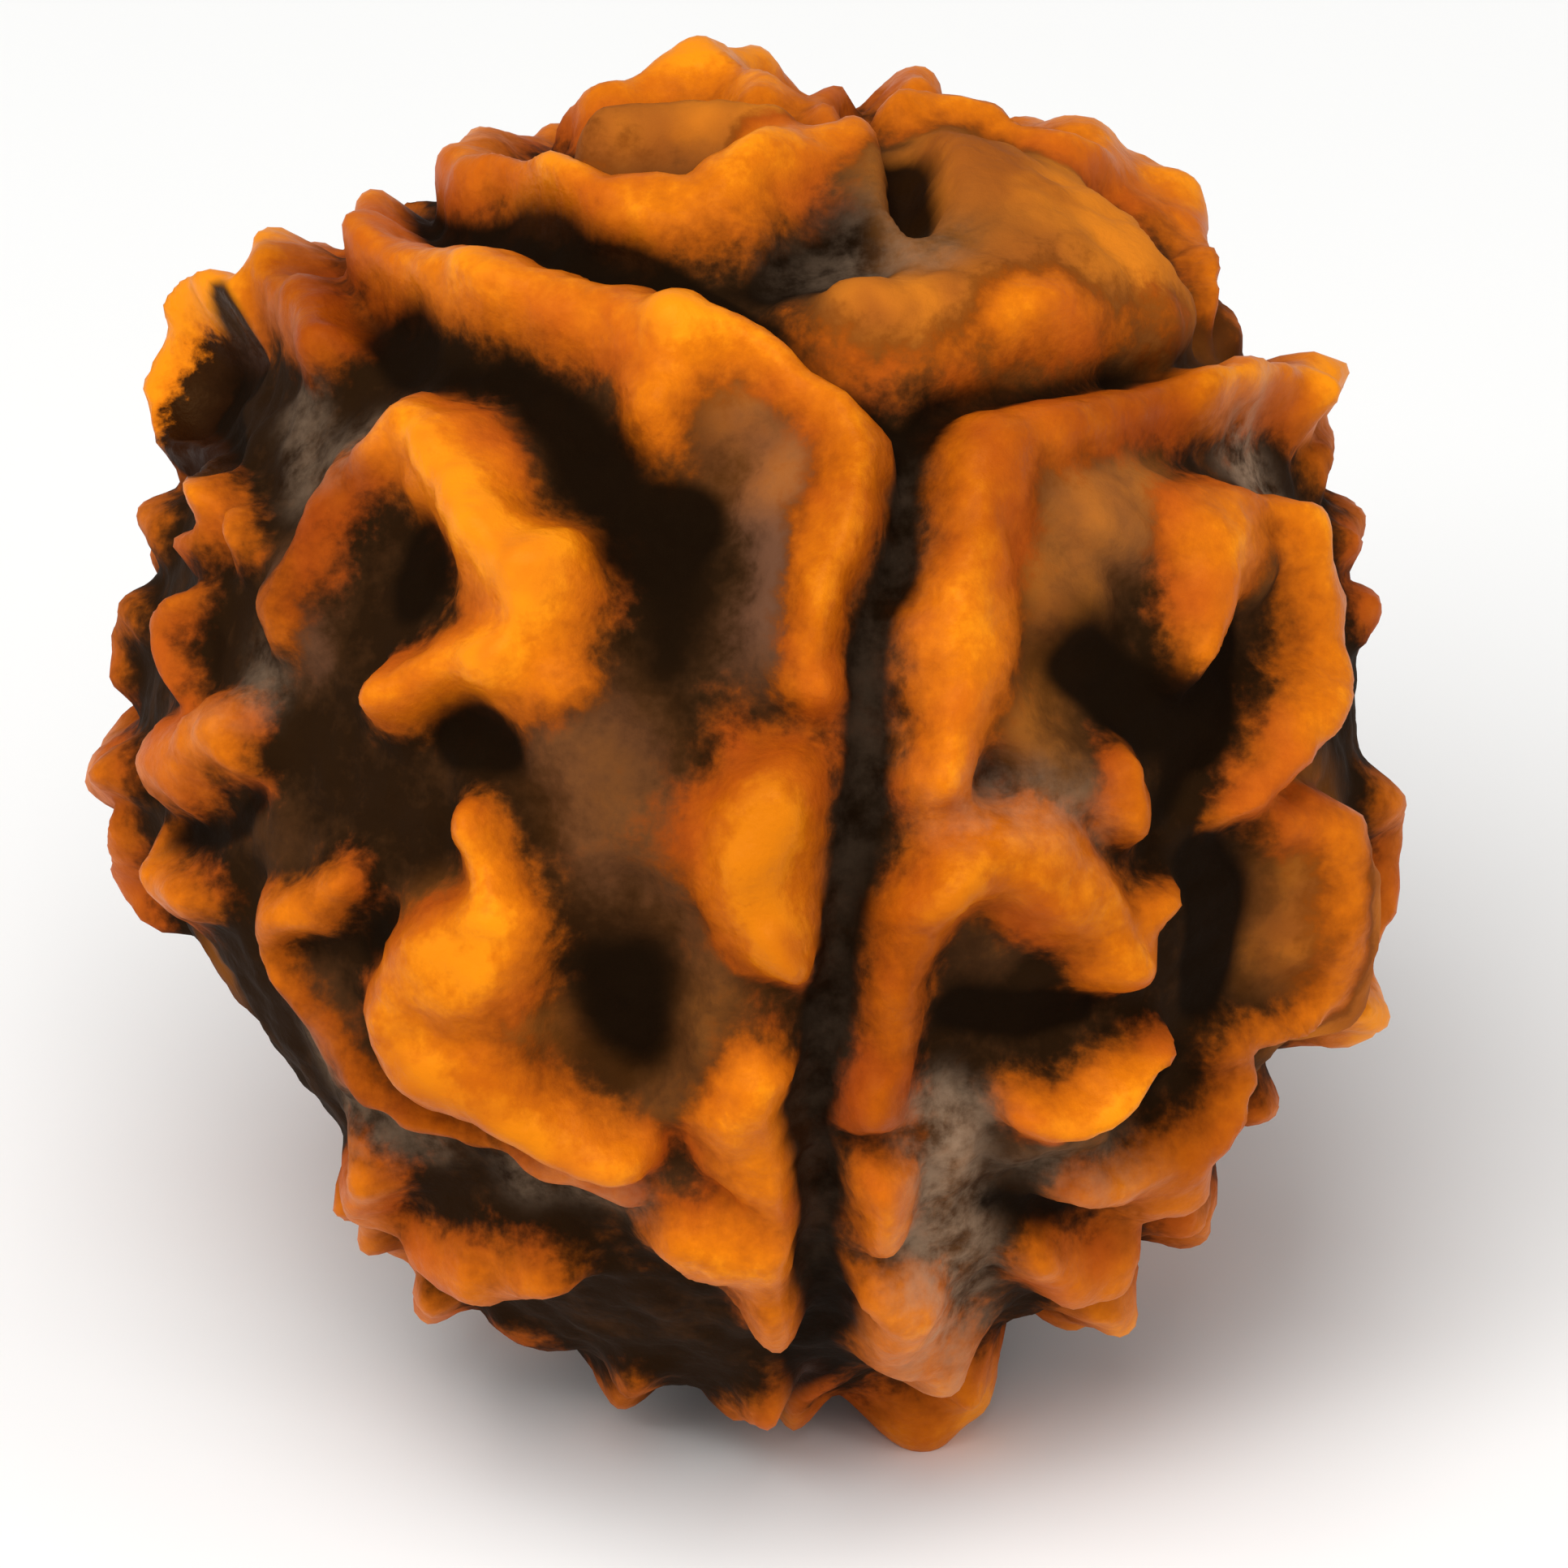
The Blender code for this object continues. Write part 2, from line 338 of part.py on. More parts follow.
class Relief:
    """Lines of one kind laid over the same directions, and blended so that neighbours join softly."""

    def __init__(self, directions, waver, section, reach, spread):
        self.directions = directions
        self.waver = waver
        self.section = section
        self.reach = reach
        self.spread = spread
        self.total = np.zeros(len(directions))

    def lay(self, line, widths, heights):
        """Adds one line whose half width and height change along it."""
        widths = widths * self.spread
        heights = np.broadcast_to(heights, len(line))
        best = np.zeros(len(self.directions))
        for k in range(len(line) - 1):
            middle = unit(line[k] + line[k + 1])
            wide = max(widths[k], widths[k + 1]) * self.reach / MEAN_RADIUS
            span = wide + np.linalg.norm(line[k + 1] - line[k]) / 2
            near = np.nonzero(self.directions @ middle > math.cos(min(span * 1.1, 3)))[0]
            gap, along = gap_to_line(self.directions[near], line[k], line[k + 1])
            width = widths[k] + (widths[k + 1] - widths[k]) * along
            height = heights[k] + (heights[k + 1] - heights[k]) * along
            best[near] = np.maximum(best[near], height * self.section(gap / width * self.waver[near]))
        self.total += best**BLEND

    def height(self):
        return self.total ** (1 / BLEND)


class Waves:
    """Gentle noise: a seeded sum of plane waves of about one wavelength, with values mostly within 1."""

    def __init__(self, rng, wavelength, count=28):
        pitch = rng.normal(size=(count, 3))
        self.ways = unit(pitch) * rng.uniform(0.75, 1.3, (count, 1)) * math.tau / wavelength
        self.phases = rng.uniform(0, math.tau, count)

    def at(self, points):
        return np.sin(points @ self.ways.T + self.phases).sum(axis=1) / math.sqrt(len(self.phases))


class Seam:
    """One seam, from the near pole over the front and on to the far pole."""

    FAR_STEPS = 12
    FAR_HALF_WIDTH = 0.36
    FAR_WAVER = 0.05

    def __init__(self, points, phase):
        near_pole = front_direction(*SEAM_POLE)
        line, widths = front_line([(*SEAM_POLE, points[0][2]), *points])
        last, far_pole = line[-1], -near_pole
        sideways = unit(np.cross(last, far_pole))
        turn = math.acos(float(last @ far_pole))
        far_half = []
        for t in np.arange(1, self.FAR_STEPS + 1) / self.FAR_STEPS:
            on_arc = (math.sin((1 - t) * turn) * last + math.sin(t * turn) * far_pole) / math.sin(turn)
            waver = self.FAR_WAVER * math.sin(phase + 7 * t) * math.sin(math.pi * t)
            far_half.append(unit(on_arc + sideways * waver))
        self.first_far = len(line) - 1
        self.line = np.vstack([line, far_half])
        widening = np.linspace(widths[-1], self.FAR_HALF_WIDTH, self.FAR_STEPS + 1)[1:]
        self.widths = np.append(widths, widening)


def swing(vector, axis, angle):
    """The vector turned about a unit axis."""
    c, s = math.cos(angle), math.sin(angle)
    return vector * c + np.cross(axis, vector) * s + axis * (axis @ vector) * (1 - c)


class FarSide:
    """Ridges of the far side, grown from a seed so that they keep clear of each other and of the seams."""

    START_AWAY = 0.22
    SEEDS = 330
    SPACING = 1.2
    START_SPACING = 1.35
    SEAM_SPACING = 0.95
    STRIDE = 0.5

    def __init__(self, taken, seams):
        self.rng = np.random.default_rng(FAR_SIDE_SEED)
        self.taken = np.vstack(taken)
        self.seams = np.vstack([seam.line for seam in seams])
        self.lines = []
        for seam in seams:
            self.lay_lips(seam.line[seam.first_far:])
        for seed in self.spread_seeds():
            self.grow(seed)

    def room(self, place, among):
        """Distance from a place to the nearest of the points among."""
        return float(np.linalg.norm(among - place, axis=1).min()) * MEAN_RADIUS

    def spread_seeds(self):
        """Evenly spread, then jittered, places all round the body."""
        rank = np.arange(self.SEEDS) + 0.5
        up = 1 - 2 * rank / self.SEEDS
        turn = rank * math.pi * (3 - math.sqrt(5))
        flat = np.sqrt(1 - up**2)
        places = np.stack([flat * np.cos(turn), flat * np.sin(turn), up], axis=-1)
        return unit(places + self.rng.normal(0, 0.05, places.shape))

    def keep(self, line, widths, heights):
        """Takes a line, with its height faded out towards the edge of the front view."""
        line = np.array(line)
        fade = 0.3 + 0.7 * smooth((line[:, 1] - 0.12) / 0.4)
        self.lines.append((line, np.asarray(widths), np.asarray(heights) * fade))
        self.taken = np.vstack([self.taken, line])

    def lay_lips(self, seam):
        """Broken lips on both banks of a seam."""
        rng = self.rng
        for bank in (-1, 1):
            at = 1
            while at < len(seam) - 3:
                end = at + int(rng.integers(2, 5))
                stretch = seam[at : min(end, len(seam) - 1) + 1]
                away = unit(np.cross(stretch[0], stretch[-1])) * bank * rng.uniform(1.0, 1.2) / MEAN_RADIUS
                line = unit(stretch + away)
                if line[:, 1].min() > self.START_AWAY:
                    count = len(line)
                    self.keep(line, rng.uniform(0.5, 0.65, count), rng.uniform(1.0, 1.4, count))
                at = end + int(rng.integers(0, 2))

    def grow(self, seed):
        """A lobe, or a ridge with two or three arms, where there is room for it."""
        rng = self.rng
        heading, is_lobe, arms = rng.uniform(0, math.tau), rng.random() < 0.25, int(rng.integers(2, 4))
        lengths, bends = rng.uniform(1.0, 2.8, 3), rng.uniform(-0.9, 0.9, 3)
        widths, heights = rng.uniform(0.5, 0.85, 4), rng.uniform(1.05, 1.5, 4)
        crowded = self.room(seed, self.taken) < self.START_SPACING or self.room(seed, self.seams) < 1.0
        if seed[1] < self.START_AWAY or crowded:
            return
        sideways = unit(np.cross(seed, (0.3, 0.2, 0.9)))
        before = self.taken
        if is_lobe:
            tip = unit(seed * MEAN_RADIUS + swing(sideways, seed, heading) * 0.6)
            self.keep([seed, tip], [widths[1] + 0.25, widths[2]], [heights[0], heights[0]])
            return
        for arm in range(arms):
            line, gone = [seed], 0.0
            onward = swing(sideways, seed, heading + arm * math.tau / arms + rng.normal(0, 0.25))
            while gone < lengths[arm]:
                here = line[-1]
                onward = unit(onward - here * (here @ onward))
                step = unit(here * MEAN_RADIUS + onward * self.STRIDE)
                if self.room(step, before) < self.SPACING or self.room(step, self.seams) < self.SEAM_SPACING:
                    break
                line.append(step)
                onward = swing(onward, step, bends[arm] * self.STRIDE)
                gone += self.STRIDE
            if len(line) > 1:
                share = np.linspace(0, 1, len(line))
                self.keep(line, widths[3] + (widths[arm] - widths[3]) * share,
                          heights[3] + (heights[arm] - heights[3]) * share)


class Skin:
    """The stone's relief along unit directions of the front frame."""

    def __init__(self, directions):
        rng = np.random.default_rng(NOISE_SEED)
        points = directions * MEAN_RADIUS
        warp = np.zeros_like(points)
        for wavelength, amount in WARPS:
            warp += amount * np.stack([Waves(rng, wavelength).at(points) for _ in range(3)], axis=-1)
        warped = unit(points + warp)
        self.directions = directions
        self.swell, self.ripple = Waves(rng, 2.2).at(points), Waves(rng, 0.9).at(points)
        waver = 1 + WAVER * Waves(rng, 1.7).at(points)
        uneven = 1 + 0.08 * self.swell + 0.05 * Waves(rng, 1.3).at(points)

        ridges = Relief(warped, waver, crest, 2.8, RIDGE_SPREAD)
        shelves = Relief(warped, waver, crest, 2.6, SHELF_SPREAD)
        hollows = Relief(warped, waver, dip, 1.6, HOLLOW_SPREAD)
        grooves = Relief(warped, waver, dip, 1.6, GROOVE_SPREAD)
        seams = [Seam(points_of, SEAM_PHASES[name]) for name, points_of in SEAMS.items()]
        taken = []
        for table, to_line in ((RIDGES, front_line), (EDGE_RIDGES, edge_line)):
            for height, *points_of in table.values():
                line, widths = to_line(points_of)
                ridges.lay(line, widths, height)
                taken.append(line)
        for line, widths, heights in FarSide(taken, seams).lines:
            ridges.lay(line, widths, heights)
        for height, *points_of in SHELVES.values():
            shelves.lay(*front_line(points_of), height)
        for depth, *points_of in HOLLOWS.values():
            hollows.lay(*front_line(points_of), depth)
        for seam in seams:
            grooves.lay(seam.line, seam.widths, 1.0)

        self.ridge = ridges.height() * uneven
        self.raised = (self.ridge**BLEND + shelves.total) ** (1 / BLEND)
        self.sunk = hollows.height() * (1 - 0.75 * smooth((self.ridge - 0.8) / 0.7))
        self.seam = np.minimum(grooves.height(), 1)

    def radius(self):
        """Radius before the feet are added."""
        raised = self.raised * (1 - self.seam)
        sunk = self.sunk * (1 - 0.5 * self.seam) + SEAM_DEPTH * self.seam
        grain = (0.1 * self.swell + 0.045 * self.ripple) * (1 - 0.6 * smooth(self.raised))
        return body_radius(self.directions) + raised - sunk + grain


def footed(directions, radius):
    """The radius with every ridge held off the ground but the three feet, which reach just past it."""
    down = -lean(directions, TILT_DEG)[:, 2]
    limit = (REST_DROP - GROUND_GAP) / np.maximum(down, 0.05)
    radius = radius - np.logaddexp(0, JOIN * (radius - limit)) / JOIN
    bare = body_radius(directions)
    for across, away, width in FEET:
        tip = lean(np.array((across, away, -REST_DROP - FOOT_EXCESS)), -TILT_DEG)
        reach = np.linalg.norm(tip)
        share = crest(np.linalg.norm(directions - tip / reach, axis=1) * MEAN_RADIUS / width)
        foot = bare + (reach - bare) * share
        radius = np.logaddexp(JOIN * radius, JOIN * foot) / JOIN
    return radius


def stone_points(directions):
    """Points of the stone's surface, in the front frame."""
    return directions * footed(directions, Skin(directions).radius())[:, None]


def ball(cells):
    """Unit directions and four-sided faces of a cube blown up into a ball, with cells along each edge."""
    span = np.tan(np.linspace(-math.pi / 4, math.pi / 4, cells + 1))
    a, b = np.meshgrid(span, span, indexing="ij")
    one = np.ones_like(a)
    sides = ((one, a, b), (-one, b, a), (b, one, a), (a, -one, b), (a, b, one), (b, a, -one))
    points = np.vstack([np.stack(side, axis=-1).reshape(-1, 3) for side in sides])
    row, column = np.meshgrid(np.arange(cells), np.arange(cells), indexing="ij")
    corner = (row * (cells + 1) + column).ravel()
    face = np.stack([corner, corner + cells + 1, corner + cells + 2, corner + 1], axis=-1)
    faces = np.vstack([face + k * (cells + 1) ** 2 for k in range(6)])
    points = unit(points)
    _, first, place = np.unique(np.round(points, 6), axis=0, return_index=True, return_inverse=True)
    return points[first], place.reshape(-1)[faces]


def evened(directions, faces, rounds):
    """Directions shifted so that steep walls get as many points as open ground."""
    ends = np.vstack([faces[:, [k, (k + 1) % 4]] for k in range(4)])
    ends = np.vstack([ends, ends[:, ::-1]])
    for _ in range(rounds):
        total = np.zeros_like(directions)
        np.add.at(total, ends[:, 0], stone_points(directions)[ends[:, 1]])
        directions = unit(total)
    return directions


def stone_mesh():
    """The stone as a mesh in the part frame, with the ground at z = 0 and its middle over the origin."""
    directions, faces = ball(FACE_CELLS)
    points = stone_points(evened(directions, faces, EVENING_ROUNDS))
    points = (lean(points, TILT_DEG) + (0, 0, REST_DROP)) * MM
    mesh = bpy.data.meshes.new("stone")
    mesh.from_pydata(points.tolist(), [], faces.tolist())
    return mesh


def thinned(mesh):
    """A copy of the mesh with its triangles merged until few enough are left."""
    holder = bpy.data.objects.new("whole", mesh)
    bpy.context.scene.collection.objects.link(holder)
    merge = holder.modifiers.new("merge", "DECIMATE")
    merge.ratio = MOST_TRIANGLES / (2 * len(mesh.polygons))
    merge.use_collapse_triangulate = True
    bpy.context.view_layer.update()
    graph = bpy.context.evaluated_depsgraph_get()
    result = bpy.data.meshes.new_from_object(holder.evaluated_get(graph))
    bpy.data.objects.remove(holder)
    return result


def flatten_feet(mesh):
    """Cuts away what reaches below the ground and closes each foot with a flat face."""
    work = bmesh.new()
    work.from_mesh(mesh)
    everything = [*work.verts, *work.edges, *work.faces]
    cut = bmesh.ops.bisect_plane(work, geom=everything, dist=1e-7, plane_co=(0, 0, 0), plane_no=(0, 0, 1),
                                 clear_inner=True)
    rim = [item for item in cut["geom_cut"] if isinstance(item, bmesh.types.BMEdge)]
    bmesh.ops.holes_fill(work, edges=rim, sides=0)
    bmesh.ops.triangulate(work, faces=[face for face in work.faces if len(face.verts) > 3])
    bmesh.ops.recalc_face_normals(work, faces=work.faces[:])
    work.to_mesh(mesh)
    work.free()


def stone_material():
    """Oiled stone of an orange brown."""
    material = bpy.data.materials.new("rudraksha")
    material.use_nodes = True
    shader = material.node_tree.nodes["Principled BSDF"]
    shader.inputs["Base Color"].default_value = STONE_COLOUR
    shader.inputs["Roughness"].default_value = STONE_ROUGHNESS
    shader.inputs["Metallic"].default_value = 0
    return material


def main():
    for old in list(bpy.data.objects):
        bpy.data.objects.remove(old)
    mesh = thinned(stone_mesh())
    flatten_feet(mesh)
    mesh.name = "bead"
    mesh.shade_smooth()
    mesh.materials.clear()
    mesh.materials.append(stone_material())
    bead = bpy.data.objects.new("bead", mesh)
    bpy.context.scene.collection.objects.link(bead)


if __name__ == "__main__":
    main()
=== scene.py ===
"""Dresses a rudraksha bead: the wrinkled stone of one Elaeocarpus fruit, oiled and lying on a pale floor.

The stone's relief is worked out again here, by the same rule, on a finer mesh than the CAD solid has.
Its colour follows the relief, with worn orange crests, brown floors and black hollows and seams; the darker
sides of the ridges and that black are partly painted shade. Tables then add dust, rust, browner ground and
patches of painted shade, where the relief alone doesn't tell of them.

Two frames are used. In the front frame x is across, y is away from the viewer and z is up, all from the
stone's middle, in millimetres. The part frame is the front frame leaned over, so that the stone lies on its
three feet. A place on the side that faces the viewer is written (across, up, half width), as it is seen from
the front. A place at the edge of that view is written (clock, away, half width), where clock is in degrees
from the right-hand side, anticlockwise.
"""

import logging
import math
from dataclasses import dataclass, field
from enum import Enum
from typing import Callable

import bmesh
import bpy
import numpy as np
from mathutils import Matrix, Vector


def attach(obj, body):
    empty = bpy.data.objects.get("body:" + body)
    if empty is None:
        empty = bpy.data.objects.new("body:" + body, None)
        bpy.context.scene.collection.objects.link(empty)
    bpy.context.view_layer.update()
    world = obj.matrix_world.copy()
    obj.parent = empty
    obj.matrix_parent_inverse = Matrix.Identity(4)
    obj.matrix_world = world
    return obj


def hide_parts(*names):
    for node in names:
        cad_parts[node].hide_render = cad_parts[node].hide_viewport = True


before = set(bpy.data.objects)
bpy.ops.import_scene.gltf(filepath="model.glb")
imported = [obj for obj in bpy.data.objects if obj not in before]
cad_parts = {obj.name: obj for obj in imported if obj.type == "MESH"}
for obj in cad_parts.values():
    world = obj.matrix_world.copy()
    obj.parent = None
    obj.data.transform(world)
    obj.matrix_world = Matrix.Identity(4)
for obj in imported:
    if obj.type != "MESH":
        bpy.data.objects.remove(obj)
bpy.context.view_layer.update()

log = logging.getLogger("rudraksha")

Place = tuple[float, ...]
Colour = tuple[float, float, float]
LineTable = dict[str, tuple]
Section = Callable[[np.ndarray], np.ndarray]
Socket = bpy.types.NodeSocket

MM = 0.001

# Form of the stone, in millimetres and degrees
BODY_SEMI_AXES = (9.15, 9.1, 9.2)
MEAN_RADIUS = 9.6
CREST_HEIGHT = 1.0
FRONT_DEPTH = 10.0
SEAM_POLE = (2.65, 4.75)
SEAM_DEPTH = 0.55
TILT_DEG = 30.0
REST_DROP = 10.1
GROUND_GAP = 0.3
FOOT_EXCESS = 0.15

# How much wider than written each kind of line is laid
RIDGE_SPREAD = 1.2
SHELF_SPREAD = 0.9
HOLLOW_SPREAD = 1.25
GROOVE_SPREAD = 1.1
PATCH_SPREAD = 1.5

# How many half widths away each kind of line is still felt
RIDGE_REACH = 2.8
SHELF_REACH = 2.6
HOLLOW_REACH = 1.6
PATCH_REACH = 1.6

# How sharply lines blend with each other, and how sharply the body joins its feet
BLEND = 4
JOIN = 8.0

# Shares of a ridge's height that are in its crest and in the skirt around it
CREST_PART = 0.54
SKIRT_PART = 0.46

# Wavelength and amount of each bend put into the lines
WARPS = ((2.6, 0.16), (1.1, 0.035))

# Fine lumps on the finished skin: wavelength and height of each kind, and how high over the ground they fade
LUMPS = ((1.0, 0.035), (0.55, 0.018), (0.38, 0.009))
LUMP_FADE = 1.5

# Seeds of the random draws
NOISE_SEED = 3
LUMP_SEED = 11
FAR_SIDE_SEED = 2

# Heights that count as a full crest and a full shelf where the stone is coloured
FULL_CREST = 1.45
FULL_SHELF = 1.3

# Broad swells of the body: (across, away, up) of the middle, height, spread
SWELLS: tuple[tuple[Place, float, float], ...] = (
    ((-5.6, 0.0, -4.4), -1.2, 2.9),
    ((-5.2, 3.5, -4.4), -0.8, 2.8),
    ((8.0, 0.0, -4.6), -0.3, 1.6),
    ((0.2, 0.0, -9.9), 0.35, 4.5),
    ((5.0, 0.0, 8.0), 0.45, 3.5),
    ((-8.0, 0.0, 6.2), 0.25, 2.5),
)

# Ridges, lobes and knobs that face the viewer: height, then the line of the crest
RIDGES: LineTable = {
    "brow": (1.35, (-4.7, 8.95, 0.4), (-4.0, 8.9, 0.5), (-3.2, 8.75, 0.6), (-2.4, 8.55, 0.7),
             (-1.5, 8.35, 0.76), (-0.7, 8.35, 0.78), (0.1, 8.65, 0.75), (0.8, 9.15, 0.65),
             (1.45, 9.6, 0.5)),
    "cap": (1.3, (-2.2, 9.85, 0.6), (-1.4, 10.1, 0.7), (-0.5, 10.2, 0.75), (0.2, 10.0, 0.6)),
    "top_tooth": (1.05, (1.15, 9.8, 0.35), (1.2, 10.1, 0.35)),
    "shoulder": (1.2, (2.35, 9.9, 0.4), (3.3, 9.75, 0.45), (4.3, 9.45, 0.45), (5.3, 9.1, 0.45),
                 (6.35, 8.65, 0.4), (7.0, 7.95, 0.4), (7.15, 7.2, 0.4)),
    "block_lip": (0.6, (0.7, 6.9, 0.5), (1.2, 6.4, 0.55), (1.9, 5.95, 0.6), (2.6, 5.7, 0.6),
                  (3.2, 5.95, 0.55), (4.0, 6.35, 0.6), (4.8, 6.6, 0.6), (5.6, 6.6, 0.5), (6.4, 6.75, 0.45)),
    "block_lump": (1.2, (4.0, 6.6, 0.6), (4.7, 6.75, 0.65)),
    "long_lip": (1.35, (-5.8, 7.95, 0.62), (-5.1, 7.5, 0.68), (-4.1, 7.1, 0.7), (-2.9, 6.75, 0.7),
                 (-1.6, 6.35, 0.7), (-0.6, 6.0, 0.7), (0.4, 5.65, 0.65), (1.15, 5.15, 0.65),
                 (1.5, 4.4, 0.65), (1.4, 3.4, 0.65), (1.15, 2.3, 0.62), (1.0, 1.5, 0.55), (0.95, 1.0, 0.4)),
    "lip_branch": (1.3, (-0.9, 6.1, 0.8), (-1.05, 5.7, 0.85), (-1.3, 5.45, 0.7)),
    "corner_knob": (1.3, (-7.25, 7.5, 0.6), (-7.0, 6.95, 0.64), (-6.6, 6.4, 0.5)),
    "leaf": (1.4, (-8.3, 7.2, 0.28), (-8.95, 6.5, 0.3), (-9.2, 5.6, 0.3), (-9.0, 4.7, 0.3),
             (-8.5, 4.1, 0.35)),
    "left_tooth": (0.95, (-8.7, 3.5, 0.35), (-9.0, 3.4, 0.3)),
    "left_lump": (1.1, (-8.3, 3.9, 0.4), (-8.2, 3.2, 0.45)),
    "ring_left": (0.85, (-6.3, 4.3, 0.6), (-6.8, 3.5, 0.55), (-7.0, 2.6, 0.55), (-7.4, 2.0, 0.6)),
    "crown": (1.35, (-6.0, 4.4, 0.6), (-5.3, 5.0, 0.75), (-4.7, 4.4, 0.7), (-4.1, 3.8, 0.7)),
    "star": (1.5, (-4.1, 3.7, 0.7), (-3.6, 2.8, 0.95), (-3.5, 2.0, 0.95), (-3.7, 1.3, 0.7)),
    "star_lobe": (1.6, (-3.4, 2.9, 0.8), (-2.8, 2.95, 0.75)),
    "star_arm": (1.35, (-3.7, 1.4, 0.7), (-4.4, 1.2, 0.6), (-4.9, 1.0, 0.5), (-5.3, 0.9, 0.5)),
    "star_root": (1.05, (-3.2, 1.6, 0.7), (-2.9, 0.9, 0.6)),
    "side_lobe": (0.95, (-8.9, 2.2, 0.35), (-9.3, 1.7, 0.45), (-9.0, 1.1, 0.4)),
    "side_lump": (1.1, (-8.1, 0.15, 0.6), (-8.8, 0.1, 0.75), (-9.3, -0.2, 0.7)),
    "side_bump": (1.0, (-7.95, -0.3, 0.4), (-7.9, -0.6, 0.4)),
    "low_lobe": (1.05, (-9.3, -1.6, 0.5), (-9.1, -2.1, 0.6), (-8.6, -2.4, 0.55)),
    "hook": (1.05, (-6.2, -2.05, 0.3), (-6.9, -2.25, 0.35), (-7.25, -2.8, 0.4), (-6.9, -3.35, 0.4)),
    "arrow_tip": (1.35, (-4.3, -1.1, 0.35), (-4.0, -1.8, 0.55), (-3.6, -2.4, 0.75)),
    "arrow": (1.4, (-3.6, -2.4, 0.75), (-4.1, -3.2, 0.95), (-4.95, -3.8, 0.9), (-4.3, -4.6, 0.85),
              (-3.5, -5.3, 0.65), (-2.4, -5.95, 0.5), (-1.7, -6.3, 0.4)),
    "outer_lip": (0.9, (-7.0, -3.3, 0.35), (-6.3, -4.0, 0.4), (-5.5, -4.9, 0.42), (-4.4, -5.8, 0.4),
                  (-3.2, -6.4, 0.4), (-2.0, -6.8, 0.4)),
    "drop": (1.55, (0.12, -0.75, 0.92), (0.12, -1.2, 1.15), (0.2, -1.9, 1.1), (0.4, -2.7, 0.85),
             (0.55, -3.3, 0.5)),
    "lower_lump": (1.2, (0.0, -5.5, 0.85), (0.1, -6.2, 0.9), (0.35, -6.8, 0.7)),
    "lower_pad": (1.25, (-1.0, -7.7, 0.7), (-0.4, -8.0, 1.0), (0.3, -8.0, 0.9)),
    "lower_tail": (1.05, (0.3, -8.5, 0.65), (0.4, -9.2, 0.6)),
    "left_neck": (0.6, (-5.8, -5.5, 0.4), (-5.5, -6.2, 0.5)),
    "left_knob": (1.05, (-5.5, -6.4, 0.55), (-5.7, -6.9, 0.75)),
    "left_pad": (1.05, (-4.9, -7.9, 0.75), (-4.4, -8.1, 0.7)),
    "left_bump": (0.95, (-3.5, -8.3, 0.7), (-3.0, -8.3, 0.6)),
    "right_lip_top": (1.05, (3.6, 4.7, 0.75), (4.6, 4.95, 0.75), (5.6, 5.15, 0.65), (6.6, 5.35, 0.55)),
    "right_lip": (1.25, (3.5, 4.6, 0.5), (3.65, 3.6, 0.6), (3.45, 2.5, 0.75), (3.3, 1.4, 0.85),
                  (3.15, 0.5, 0.8), (2.9, -0.2, 0.6)),
    "spur": (1.35, (6.8, 5.5, 0.5), (7.8, 5.7, 0.45), (8.6, 5.75, 0.4)),
    "pale_ridge": (1.0, (7.3, 4.0, 0.5), (8.0, 3.6, 0.5), (8.7, 3.3, 0.4)),
    "heart": (1.15, (7.3, 3.6, 0.8), (7.1, 2.9, 0.95), (7.05, 2.1, 0.7), (7.0, 1.3, 0.35)),
    "right_band": (1.2, (8.4, 3.2, 0.85), (8.75, 2.4, 0.95), (8.95, 1.6, 0.8), (8.75, 0.8, 0.65),
                   (8.25, -0.1, 0.6), (7.7, -0.9, 0.5), (7.45, -1.15, 0.4)),
    "right_bump": (1.05, (5.7, -0.15, 0.45), (5.85, -1.0, 0.5)),
    "crescent": (1.35, (2.7, -2.5, 0.7), (3.1, -1.95, 0.75), (3.9, -1.75, 0.78), (4.7, -2.0, 0.78),
                 (5.35, -2.6, 0.75), (5.6, -3.15, 0.62)),
    "crescent_tip": (1.2, (6.0, -2.5, 0.4), (6.35, -2.35, 0.35)),
    "limb": (1.0, (2.6, -2.7, 0.65), (2.45, -3.6, 0.65), (2.3, -4.7, 0.6), (2.0, -5.8, 0.5)),
    "beak": (1.4, (4.0, -5.55, 0.4), (4.7, -5.65, 0.5), (5.6, -5.2, 0.48), (6.3, -4.5, 0.35)),
    "low_wall": (1.1, (7.4, -4.7, 0.45), (7.4, -5.4, 0.5), (6.9, -6.2, 0.6), (6.0, -6.5, 0.5)),
    "right_shelf": (1.1, (5.2, -6.85, 0.5), (6.0, -6.8, 0.65), (6.5, -6.9, 0.65)),
    "low_pad": (1.15, (4.6, -8.1, 0.6), (5.3, -8.2, 0.85), (5.7, -7.9, 0.65)),
    "small_oval": (1.15, (2.05, -6.8, 0.5), (2.2, -7.5, 0.55)),
    "leg": (1.15, (2.15, -8.4, 0.6), (2.45, -9.1, 0.8), (2.8, -9.8, 0.95)),
    "ear_brow": (1.05, (8.3, -1.4, 0.5), (8.9, -1.1, 0.45), (9.3, -0.9, 0.4)),
    "ear_edge": (1.0, (8.7, -1.6, 0.4), (8.75, -2.6, 0.4), (8.6, -3.5, 0.4), (8.1, -4.2, 0.45),
                 (7.4, -4.4, 0.4)),
}

